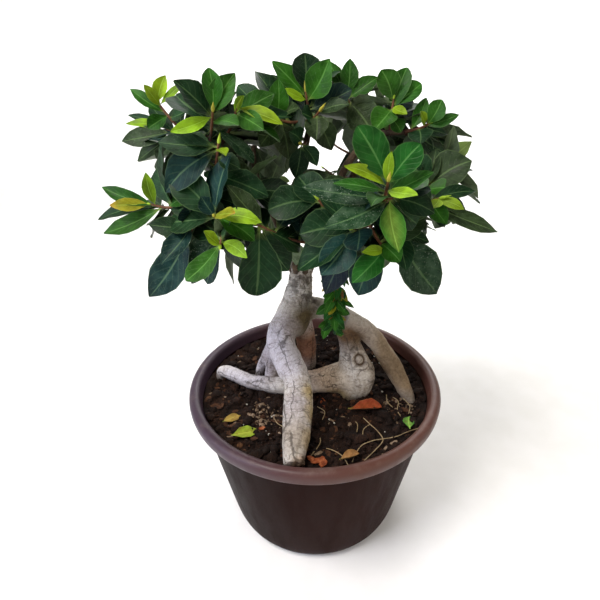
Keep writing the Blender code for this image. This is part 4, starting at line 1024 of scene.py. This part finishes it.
def makeSpray(name, spray):
    chance = random.Random(name + " look")
    sheaf = newSheaf()
    first, second = spray["twig"][:2]
    sunk = first + (first - second).normalized() * sprayTwig["sunk"]
    twig = smoothRun([sunk] + spray["twig"], sprayTwig["steps"])
    thinner = sprayTwig["tipRadius"] - twigPlan["radius"]
    rings = [(*p, twigPlan["radius"] + thinner * k / (len(twig) - 1)) for k, p in enumerate(twig)]
    addPart(sheaf, *tube(rings, sprayTwig["sides"]), 1, None, None, sprayTwig["dust"])
    for leaf in spray["leaves"]:
        addLeaf(sheaf, leaf, chance)
    for order in range(fillerLook["count"]):
        leaf = fillerLeaf(spray["twig"], order, name in sprayTable, chance)
        blade = leaf["heading"] * leaf["length"]
        if inCanopy(leaf["base"] + blade) and not inCrownGap(leaf["base"], blade):
            addLeaf(sheaf, leaf, chance)
    addBud(sheaf, spray["twig"][-1], spray["twig"][-1] - spray["twig"][-2], chance)
    young = sum(leaf["kind"] in "lygGv" for leaf in spray["leaves"])
    slotName = "leaf_green" if young * 2 > len(spray["leaves"]) else "leaf_dark"
    finishSheaf(sheaf, name.replace("leaves", "foliage"), name, slotName, [waxyLeaf, twigBark])


# Grafted branches, with small knots along them and a flared foot sunk in the graft.
boughLook = {"sides": 14, "steps": 3, "knot": 0.10, "knotStep": 0.45, "knotJitter": 0.2, "knotRow": 3.1,
             "graft": (-11, 7, 244.5), "inwards": 0.35, "flare": 1.35, "smoothBy": 50}


def makeBranch(name):
    look = boughLook
    run = branchRun(name)
    foot = run[0].xy.lerp(Vector(look["graft"][:2]), look["inwards"])
    sunk = Vector((*foot, look["graft"][2], run[0][3] * look["flare"]))
    chance = random.Random(name + " bark")
    rings = []
    for k, p in enumerate(smoothRun([sunk] + run, look["steps"])):
        place = Vector((k * look["knotStep"], chance.random() * look["knotJitter"], look["knotRow"]))
        rings.append((*p[:3], p[3] * (1 + look["knot"] * noise.noise(place))))
    piece = meshPiece(name.replace("branch", "bough"), *tube(rings, look["sides"]))
    standFor(piece, name, "branch_bark", [branchBark], look["smoothBy"])


# The rootstock. Tint patches and rugged spots are a place and a reach, and a tint patch has a colour and a
# strength too. The tint patches are partly real stains and bark tones and partly painted light: painted
# shadow in olive and dark brown under the arch and on the upper bulk, and painted cool light in lavender on
# the left-lit limbs.
# The knot has a raised collar, a groove and a shaded rim: each is a height, a share of the reach and a width.
# The groove and the rim are tinted darker as painted shade.
rootLook = {"ringSteps": 6, "sampleSteps": 8, "sides": 16, "voxel": 1.05, "soften": 0.5, "smoothing": 5,
            "nearby": 26, "knot": (38, -13, 170), "knotReach": 10.0, "collar": (1.2, 0.72, 0.15),
            "groove": (1.4, 0.45, 0.15), "rimShade": (0.5, 0.95, 0.10), "knotPaintedShade": "#5a4330",
            "smoothLimb": ("right_root", 0.35), "limbGap": 300.0,
            "callus": ((-11, 7, 243, 9.4), (-11, 7, 248, 10.8), (-11, 7, 252, 9.8), (-11, 7, 254.5, 6.5)),
            "lump": 0.8, "lumpScale": 0.055, "fissure": 0.55, "fissureThin": 11,
            "fissureScale": (0.16, 0.16, 0.02), "ring": 0.22, "ringScale": (0.06, 0.06, 0.5), "chip": 1.6,
            "chipScale": 0.35, "chipEdge": 1.6, "ruggedEdge": 1.5, "forkBlend": 5.0, "tintReach": 1.25,
            "tintPower": 1.6, "tintGain": 1.25,
            "rugged": (((-11, 0, 236), 18), ((-8, -4, 226), 15), ((-2, 1, 217), 12), ((-10, -97, 139), 10)),
            # Painted shadow: the olive patches under the arch and the dark brown one on the upper bulk.
            # Painted cool light: the lavender patches on the left-lit limbs. The rest are stains and bark
            # tones.
            "stainsAndPaintedLight": (((-9, -8, 206), 17, "#6f6448", 0.9), ((-11, -8, 190), 11, "#7d735c", 0.8),
                       ((-8, 24, 165), 30, "#b58a74", 0.95), ((26, -2, 190), 18, "#7d654c", 0.9),
                       ((60, 3, 178), 26, "#a08f78", 0.9), ((79, -7, 149), 28, "#97846a", 0.9),
                       ((12, -6, 142), 24, "#d2bba0", 0.8), ((-4, -50, 165), 7, "#dccb92", 0.9),
                       ((-2, -62, 156), 8, "#dccb92", 0.9), ((-4, -80, 146), 8, "#d8c68e", 0.8),
                       ((22, -16, 130), 12, "#b9ad76", 0.7), ((-67, -2, 139), 34, "#e3e3f2", 0.9),
                       ((-34, -20, 191), 24, "#dcdcee", 0.95), ((-45, 12, 160), 24, "#c9c6d6", 0.8),
                       ((-19, -36, 181), 16, "#d2d2e2", 0.9), ((-14, -62, 165), 16, "#c4c2cc", 0.8),
                       ((-14, -82, 152), 20, "#bcb7b2", 0.9), ((-10, -99, 138), 9, "#9a7858", 0.95))}


def limbSamples():
    samples = []
    for limb, run in enumerate(rootLimbs.values()):
        fine = smoothRun([Vector(p) for p in run], rootLook["sampleSteps"])
        centres = [Vector(p[:3]) for p in fine]
        side, along = None, 0.0
        for k, centre in enumerate(centres):
            ahead = (centres[min(k + 1, len(centres) - 1)] - centres[max(k - 1, 0)]).normalized()
            side = side or ahead.orthogonal().normalized()
            side = (side - ahead * side.dot(ahead)).normalized()
            if k:
                along += (centre - centres[k - 1]).length
            samples.append((limb, centre, fine[k][3], side.copy(), ahead.cross(side), ahead, along))
    return samples


# The limb whose skin is nearest, and how much further the next one is: small where two limbs meet.
def nearestLimb(point, samples, tree):
    best, second = None, 99.0
    for _, index, distance in tree.find_n(point, rootLook["nearby"]):
        skinGap = distance - samples[index][2]
        if best is None or skinGap < best[0]:
            if best and samples[best[1]][0] != samples[index][0]:
                second = min(second, best[0])
            best = (skinGap, index)
        elif samples[index][0] != samples[best[1]][0]:
            second = min(second, skinGap)
    return best[1], second - best[0]


def bell(value, height, middle, width):
    return height * math.exp(-((value - middle) / width) ** 2)


def stretched(grain, scale):
    return noise.noise(Vector([g * s for g, s in zip(grain, scale)]))


# Tint at a point from the stain and painted light patches.
def stainAndPaintedLightAt(point, look):
    tint, total = Vector((1, 1, 1)), 0.0
    for place, reach, hexCode, strength in look["stainsAndPaintedLight"]:
        near = max(0.0, 1 - (point - Vector(place)).length / (reach * look["tintReach"]))
        weight = near * strength * look["tintPower"]
        if weight > 0:
            total += weight
            tint = tint.lerp(Vector(toLinear(hexCode)[:3]) * look["tintGain"], min(1.0, weight / total))
    return tint, total


def makeRootstock():
    look = rootLook
    shells = []
    for run in (*rootLimbs.values(), look["callus"]):
        fine = smoothRun([Vector(p) for p in run], look["ringSteps"])
        shells.append(tube([tuple(p) for p in fine], look["sides"]))
    root = meshPiece("rootstock_bark", *joined(shells))
    alone(root)
    merge = root.modifiers.new("grown together", "REMESH")
    merge.mode, merge.voxel_size = "VOXEL", look["voxel"] * mm
    soft = root.modifiers.new("soft forks", "SMOOTH")
    soft.factor, soft.iterations = look["soften"], look["smoothing"]
    applyAll(root)
    samples = limbSamples()
    tree = KDTree(len(samples))
    for index, sample in enumerate(samples):
        tree.insert(sample[1], index)
    tree.balance()
    mesh = root.data
    normals = [v.normal.copy() for v in mesh.vertices]
    knot, knotShadeColour = Vector(look["knot"]), Vector(toLinear(look["knotPaintedShade"])[:3]) * look["tintGain"]
    smoothName, smoothShare = look["smoothLimb"]
    smoothest = list(rootLimbs).index(smoothName)
    grains, cleans, ruggeds, stainsAndPaintedLight, moved = [], [], [], [], []
    for vert, normal in zip(mesh.vertices, normals):
        point = vert.co / mm
        index, apart = nearestLimb(point, samples, tree)
        limb, centre, _, side, across, ahead, along = samples[index]
        out = point - centre
        along += out.dot(ahead)
        grain = Vector((out.dot(side), out.dot(across), along + look["limbGap"] * limb))
        clean = min(1.0, max(0.0, apart / look["forkBlend"])) * (smoothShare if limb == smoothest else 1)
        rough = max(max(0.0, 1 - (point - Vector(place)).length / reach) for place, reach in look["rugged"])
        lump = noise.fractal(point * look["lumpScale"], 0.8, 2.2, 3) * look["lump"]
        split = stretched(grain, look["fissureScale"])
        crease = -look["fissure"] * max(0.0, 1 - abs(split) * look["fissureThin"]) * clean
        ridge = look["ring"] * stretched(grain, look["ringScale"]) * clean
        chip = noise.fractal(point * look["chipScale"], 0.6, 2.1, 4) * look["chip"]
        chip *= min(1, rough * look["chipEdge"])
        nearKnot = (point - knot).length / look["knotReach"]
        groove = bell(nearKnot, *look["groove"])
        eye = bell(nearKnot, *look["collar"]) - groove
        moved.append(point + normal * (lump + crease + ridge + chip + eye))
        grains.append(grain)
        cleans.append(clean)
        ruggeds.append(min(1, rough * look["ruggedEdge"]))
        # The tint holds real stains and painted light: painted shadow and painted cool light.
        tint, total = stainAndPaintedLightAt(point, look)
        # Painted shade: the knot's groove and rim are tinted towards the knot shade colour.
        shade = min(1.0, groove / look["groove"][0] + bell(nearKnot, *look["rimShade"]))
        tint = tint.lerp(knotShadeColour, shade)
        stainsAndPaintedLight.append((*tint, min(1.0, max(total, shade))))
    mesh.vertices.foreach_set("co", [c * mm for p in moved for c in p])
    grainLayer = mesh.attributes.new("grain", "FLOAT_VECTOR", "POINT")
    grainLayer.data.foreach_set("vector", [c for g in grains for c in g])
    mesh.attributes.new("clean", "FLOAT", "POINT").data.foreach_set("value", cleans)
    mesh.attributes.new("rugged", "FLOAT", "POINT").data.foreach_set("value", ruggeds)
    stainAndPaintedLightLayer = mesh.color_attributes.new("stainAndPaintedLight", "FLOAT_COLOR", "POINT")
    stainAndPaintedLightLayer.data.foreach_set("color", [c for stainAndPaintedLight in stainsAndPaintedLight for c in stainAndPaintedLight])
    standFor(root, "rootstock", "root_bark", [rootBark])


# The soil: a lumpy disc strewn with crumbs, chips, perlite, dry root fibres and scraps.
soilLook = {"sides": 288, "rings": 84, "skirt": 116.0, "radius": 98.9, "hub": 1.2, "swell": 2.0,
            "clodScale": 0.16, "rimFrom": 92, "rimWidth": 7, "rimRise": 1.2, "settled": 0.4, "smoothBy": 45,
            "lumpy": 0.55, "lumpScale": 1.3, "sizeCurve": 2.2, "tilt": 0.5, "standing": (0.1, 0.75),
            "scrapLift": 1.6, "scrapThick": 0.5, "scrapBend": 0.28, "scrapCrinkle": 0.5, "scrapScale": 1.7,
            "fibreRadius": 0.33, "fibreSides": 6, "fibreSteps": 6, "fibreSkin": 4}

# What is strewn on it: how many, the smallest and largest, coarse or fine grains, how flat, how long, which
# of the soil's materials, and the middle and reach of the patch.
wholeBed = ((0, 0), soilLook["radius"] - 3)
strewn = ((620, 1.4, 4.2, "coarse", 0.75, 1.5, 0, wholeBed),
          (2600, 0.5, 2.0, "fine", 0.8, 1.4, 0, wholeBed), (330, 0.9, 2.8, "fine", 0.42, 2.6, 1, wholeBed),
          (82, 0.7, 2.0, "fine", 0.5, 2.2, 2, wholeBed),
          (165, 0.5, 1.7, "fine", 0.8, 1.5, 2, ((-40, -34), 17)),
          (82, 0.5, 1.6, "fine", 0.8, 1.5, 2, ((72, -24), 14)),
          (80, 0.5, 1.3, "fine", 0.8, 1.2, 3, wholeBed))


def grainPattern(detail):
    bpy.ops.object.select_all(action="DESELECT")
    bpy.ops.mesh.primitive_ico_sphere_add(subdivisions=detail, radius=1, location=(0, 0, 0))
    ball = bpy.context.object
    pattern = ([v.co.copy() for v in ball.data.vertices], [tuple(f.vertices) for f in ball.data.polygons])
    bpy.data.objects.remove(ball)
    return pattern


def scatter(sheaf, patterns, chance, count, smallest, largest, grain, flat, long, skin, patch):
    look = soilLook
    points, faces = patterns[grain]
    (midX, midY), reach = patch
    for _ in range(count):
        while True:
            x, y = chance.uniform(-reach, reach), chance.uniform(-reach, reach)
            if math.hypot(x, y) < reach:
                break
        x, y = x + midX, y + midY
        size = smallest + (largest - smallest) * chance.random() ** look["sizeCurve"]
        turn = Matrix.Rotation(chance.uniform(0, math.tau), 3, "Z")
        turn = turn @ Matrix.Rotation(chance.uniform(-look["tilt"], look["tilt"]), 3, "X")
        offset = Vector((chance.uniform(0, 99), chance.uniform(0, 99), 0))
        stretch = chance.uniform(1, long)
        lump = [p * (1 + look["lumpy"] * noise.noise(p * look["lumpScale"] + offset)) for p in points]
        middle = Vector((x, y, soilHeight(x, y) + size * flat * chance.uniform(*look["standing"])))
        shape = [Vector((p.x * size * stretch, p.y * size, p.z * size * flat)) for p in lump]
        addShell(sheaf, [middle + turn @ p for p in shape], faces, skin)


# Dry root fibres lying on the soil: points as x, y and height above the soil.
rootFibres = (
   
    ((27, -87, 1.5), (34, -75, 2.8), (44, -69, 3.4), (50, -67, 3.4), (62, -65, 3.4), (74, -59, 3.0),
     (86, -52, 1.5)),
    ((40, -42, 1.5), (44, -52, 3.0), (49, -60, 3.8), (52, -68, 3.6), (46, -77, 3.0), (36, -86, 1.2)),
    ((44, -52, 3.0), (38, -58, 3.2), (37, -66, 1.4)),
    ((8, -74, 1.2), (14, -78, 2.8), (20, -84, 2.6), (24, -90, 1.0)),
    ((30, -44, 1.0), (34, -50, 2.8), (33, -58, 1.2)), ((2, -30, 2.0), (8, -38, 3.0), (6, -46, 1.4)),
    ((68, -18, 3.0), (71, -26, 4.0), (69, -34, 2.6), (71, -40, 1.0)),
    ((76, -20, 3.0), (80, -30, 3.6), (78, -37, 1.2)), ((63, -14, 3.0), (62, -24, 3.4), (66, -30, 1.4)),
    ((-10, -60, 0.8), (-28, -52, 2.6), (-33, -44, 1.2)), ((-4, -84, 1.0), (4, -70, 2.6), (2, -58, 1.2)),
)

# Scraps of dry leaf and bark: x, y, length, width, heading and which of the soil's materials.
soilScraps = (
    (-42, -56, 5.5, 3.5, 30, 5), (7, -25, 11, 4.5, 100, 5), (1, -88, 9, 5, 10, 5), (6, -90, 8, 5, 70, 5),
    (-3, -86, 6, 4, 140, 5), (5, -85, 5, 3.5, 40, 5), (-80, -30, 8, 5, 60, 1), (-47, -66, 6, 4, 10, 1),
    (60, -70, 7, 3, 30, 2), (28, -50, 5, 3, 80, 2), (84, 8, 6, 3, 20, 1), (-20, 50, 8, 5, 50, 1),
    (30, 60, 7, 4, 120, 5), (60, 50, 8, 5, 15, 1), (-60, 40, 8, 4, 75, 1),
)


def addScrap(sheaf, pattern, x, y, length, wide, heading, skin):
    look = soilLook
    points, faces = pattern
    turn = Matrix.Rotation(math.radians(heading), 3, "Z")
    offset = Vector((x, y, 0))
    middle = Vector((x, y, soilHeight(x, y) + look["scrapLift"]))
    verts = []
    for p in points:
        bend = look["scrapBend"] * wide * (p.x * p.x + 0.6 * p.y * p.y)
        crinkle = 1 + look["scrapCrinkle"] * noise.noise(p * look["scrapScale"] + offset)
        height = p.z * look["scrapThick"] + bend
        flat = Vector((p.x * length / 2 * crinkle, p.y * wide / 2 * crinkle, height))
        verts.append(middle + turn @ flat)
    addShell(sheaf, verts, faces, skin)


def makeSoil():
    look = soilLook
    step = (look["radius"] - look["hub"]) / look["rings"]
    profile = [(look["radius"], look["skirt"]), (look["radius"], soilBed["level"])]
    profile += [(look["radius"] - step * k, soilBed["level"]) for k in range(1, look["rings"])]
    soil = ringedPiece("potting_soil", look["sides"], profile, False, True)
    bpy.ops.object.mode_set(mode="EDIT")
    pickVerts(soil, lambda p: p.z < (look["skirt"] + 1) * mm)
    bpy.ops.mesh.edge_face_add()
    bpy.ops.mesh.select_all(action="SELECT")
    bpy.ops.mesh.normals_make_consistent(inside=False)
    bpy.ops.object.mode_set(mode="OBJECT")
    for vert in soil.data.vertices:
        if vert.co.z > (look["skirt"] + 1) * mm:
            x, y = vert.co.x / mm, vert.co.y / mm
            clod = noise.fractal(Vector((x, y, 0)) * look["clodScale"], 0.7, 2.1, 5) * look["swell"]
            rim = max(0.0, (math.hypot(x, y) - look["rimFrom"]) / look["rimWidth"]) * look["rimRise"]
            vert.co.z = (soilHeight(x, y) + clod + rim - look["settled"]) * mm
    sheaf = {"verts": [], "faces": [], "skin": []}
    chance = random.Random("soil crumbs")
    patterns = {"coarse": grainPattern(2), "fine": grainPattern(1)}
    for row in strewn:
        scatter(sheaf, patterns, chance, *row)
    for row in soilScraps:
        addScrap(sheaf, patterns["coarse"], *row)
    for fibre in rootFibres:
        run = [Vector((x, y, soilHeight(x, y) + lift, look["fibreRadius"])) for x, y, lift in fibre]
        rings = [tuple(p) for p in smoothRun(run, look["fibreSteps"])]
        addShell(sheaf, *tube(rings, look["fibreSides"]), look["fibreSkin"])
    crumbs = meshPiece("crumbs", sheaf["verts"], sheaf["faces"])
    crumbs.data.polygons.foreach_set("material_index", sheaf["skin"])
    for material in soilMix:
        crumbs.data.materials.append(material)
        soil.data.materials.append(material)
    bpy.ops.object.select_all(action="DESELECT")
    crumbs.select_set(True)
    soil.select_set(True)
    bpy.context.view_layer.objects.active = soil
    bpy.ops.object.join()
    standFor(soil, "soil", "soil", [], look["smoothBy"])


# How a fallen leaf rests on the soil, and for each one its colour letter, fold, roll and leaf pattern.
litterRest = {"height": 3.2, "baseRise": 0.5, "tipRise": 0.4, "wave": 0.08, "broader": 1.0, "twist": 0.12}
litterLook = {"litter_yellow_green": ("m", 0.16, 0.03, "oval"), "litter_orange": ("r", 0.9, 0.28, "broad"),
              "litter_green": ("v", 0.18, 0.04, "oval"), "litter_beige": ("p", 0.8, 0.22, "oval"),
              "litter_yellow_brown": ("w", 0.22, 0.06, "oval")}


def makeLitter(name):
    x, y, heading, length, width, curl, slotName = litterTable[name]
    kind, fold, roll, pattern = litterLook[name]
    angle = math.radians(heading)
    ahead = Vector((math.cos(angle), math.sin(angle), 0))
    centre = Vector((x, y, soilHeight(x, y) + litterRest["height"]))
    base = centre - ahead * length / 2
    base.z += length * curl * litterRest["baseRise"]
    heading = (ahead + Vector((0, 0, -curl * litterRest["tipRise"]))).normalized()
    leaf = {"base": base, "heading": heading, "facing": faced(heading, Vector((0, 0, 1))), "length": length,
            "width": width, "kind": kind}
    look = {**foliageLook, **litterRest, "fold": fold, "curl": -roll * 2}
    sheaf = newSheaf()
    addLeaf(sheaf, leaf, random.Random(name), look, 0, pattern)
    finishSheaf(sheaf, name.replace("litter", "fallen_leaf"), name, slotName, [fallenLeaf])


# The hanging shoot: listed leaves, a bundle of small ones and a few dry ones. Each of the last two has a
# count, a first place and a step along the stem, and the ranges and kinds that its leaves are drawn from.
shootLook = {"joint": (12, -5, 268, 1.7), "steps": 5, "sides": 7, "back": 2, "backStep": 4,
             "facing": (0, -1, 0.5), "dryWidth": 4}
shootBundle = {"count": 46, "back": 1, "backStep": 1, "clock": (-165, -15), "towards": (-25, 60),
               "length": (10, 17), "width": (4.0, 7.0), "kinds": "ggGyd", "roll": 40, "fold": 0.5,
               "curl": 0.5, "skin": 0}
shootDry = {"count": 14, "back": 6, "backStep": 2.7, "clock": (-170, -10), "towards": (-20, 60),
            "length": (6, 11), "width": None, "kinds": "rwpw", "roll": 60, "fold": 0.9, "curl": 0.8,
            "skin": 2}


def makeShoot():
    look = shootLook
    chance = random.Random("hanging shoot look")
    sheaf = newSheaf()
    stem = smoothRun([Vector(p) for p in (look["joint"], *shootStem)], look["steps"])
    addPart(sheaf, *tube([tuple(p) for p in stem], look["sides"]), 1, None, None, sprayTwig["dust"])
    points = [Vector(p[:3]) for p in shootStem]
    facing = Vector(look["facing"])
    for order, (clock, length, towards, width) in enumerate(shootLeaves):
        base = twigPoint(points, look["back"] + order * look["backStep"])
        leaf = makeLeaf(base, leafDirection(clock, towards), facing, length, width, "g", 0)
        addLeaf(sheaf, leaf, chance, foliageLook, 0, "slim")
    for sort in (shootBundle, shootDry):
        for order in range(sort["count"]):
            heading = leafDirection(chance.uniform(*sort["clock"]), chance.uniform(*sort["towards"]))
            base = twigPoint(points, sort["back"] + order * sort["backStep"])
            length = chance.uniform(*sort["length"])
            width = chance.uniform(*sort["width"]) if sort["width"] else look["dryWidth"]
            kind, roll = chance.choice(sort["kinds"]), chance.uniform(-sort["roll"], sort["roll"])
            leaf = makeLeaf(base, heading, facing, length, width, kind, roll)
            bent = {**foliageLook, "fold": sort["fold"], "curl": sort["curl"]}
            addLeaf(sheaf, leaf, chance, bent, sort["skin"], "slim")
    skins = [waxyLeaf, twigBark, fallenLeaf]
    finishSheaf(sheaf, "foliage_hanging_shoot", "hanging_shoot", "leaf_green", skins)


makePot()
print("pot made")
makeSoil()
print("soil made")
makeRootstock()
print("rootstock made")
for branchName in branchTable:
    makeBranch(branchName)
print("branches made")
blades = {name: cutBlade(name, outline) for name, outline in bladeCuts.items()}
sprays = layOutSprays()
for sprayName, spray in sprays.items():
    makeSpray(sprayName, spray)
makeShoot()
for litterName in litterTable:
    makeLitter(litterName)
print("foliage made,", sum(len(spray["leaves"]) for spray in sprays.values()), "leaves from the plan")


# Floor, camera and lights: each light has a place, a size, a power and a colour.
studio = {"floorRings": (0.02, 0.4, 0.9), "coveSteps": 8, "sides": 96, "sensor": 36.0, "floorRadius": 1.6,
          "wallRadius": 2.3, "wallHeight": 2.2, "paint": ("#f3f2f0", "#efeeeb"),
          "cameraPlace": (0.0, -0.296, 0.369), "cameraPitch": 60.8, "lens": 24.6, "shiftX": -0.025,
          "shiftY": 0.0283,
          "lights": {"key": ((-0.42, -0.34, 1.10), 0.45, 10.5, "#fffaf4"),
                     "window": ((-0.90, -0.50, 0.55), 0.70, 8.0, "#dfe6ff"),
                     "fill": ((0.80, -0.50, 0.50), 0.70, 1.6, "#ffe6cc"),
                     "back": ((0.15, 0.75, 0.95), 0.60, 5.0, "#ffffff"),
                     "wall": ((0.0, 1.35, 1.3), 1.20, 26.0, "#ffffff")}, "aims": {"wall": (0, 2.3, 0.3)},
          "middle": (0, 0, 0.2), "sky": "#f4f6f8", "skyPower": 0.33}


def makeStudio():
    profile = [(r / mm, 0) for r in (*studio["floorRings"], studio["floorRadius"])]
    rise = studio["wallRadius"] - studio["floorRadius"]
    for k in range(1, studio["coveSteps"] + 1):
        angle = k / studio["coveSteps"] * math.pi / 2
        radius, height = studio["floorRadius"] + rise * math.sin(angle), rise * (1 - math.cos(angle))
        profile.append((radius / mm, height / mm))
    profile.append((studio["wallRadius"] / mm, studio["wallHeight"] / mm))
    floor = ringedPiece("studio_floor", studio["sides"], profile, True, False)
    bpy.ops.object.mode_set(mode="EDIT")
    bpy.ops.mesh.select_all(action="SELECT")
    bpy.ops.mesh.flip_normals()
    bpy.ops.object.mode_set(mode="OBJECT")
    alone(floor)
    bpy.ops.object.shade_smooth()
    # Matt painted board: an even, pale floor that curves up into a wall.
    material, add, surface = newMaterial("mattPaintedBoard")
    grain = add("TexNoise", {"Vector": add("TexCoord", out="Object"), "Scale": 30.0, "Detail": 4.0})
    mottle = add("MapRange", {0: grain, 1: 0.3, 2: 0.7}, **smoothly)
    paint = [toLinear(hexCode) for hexCode in studio["paint"]]
    colour = add("Mix", {0: mottle, 6: paint[0], 7: paint[1]}, 2, **asColours)
    surface({"Base Color": colour, "IOR": 1.5, "Roughness": 0.85})
    floor.data.materials.append(material)

    lens = bpy.data.cameras.new("front_view")
    lens.sensor_width, lens.lens = studio["sensor"], studio["lens"]
    lens.shift_x, lens.shift_y = studio["shiftX"], studio["shiftY"]
    lens.clip_start = 0.01
    camera = bpy.data.objects.new("front_view", lens)
    camera.location = studio["cameraPlace"]
    camera.rotation_euler = (math.radians(studio["cameraPitch"]), 0, 0)
    bpy.context.scene.collection.objects.link(camera)
    bpy.context.scene.camera = camera

    for name, (place, size, power, hexCode) in studio["lights"].items():
        lamp = bpy.data.lights.new(name + "_softbox", "AREA")
        lamp.shape, lamp.size, lamp.energy, lamp.color = "DISK", size, power, toLinear(hexCode)[:3]
        softbox = bpy.data.objects.new(name + "_softbox", lamp)
        softbox.location = place
        aim = Vector(studio["aims"].get(name, studio["middle"])) - Vector(place)
        softbox.rotation_euler = aim.to_track_quat("-Z", "Y").to_euler()
        bpy.context.scene.collection.objects.link(softbox)

    world = bpy.data.worlds.new("studio_sky")
    bpy.context.scene.world = world
    world.use_nodes = True
    sky = world.node_tree.nodes["Background"]
    sky.inputs["Color"].default_value = toLinear(studio["sky"])
    sky.inputs["Strength"].default_value = studio["skyPower"]
    bpy.context.scene.view_settings.view_transform = "Standard"


makeStudio()
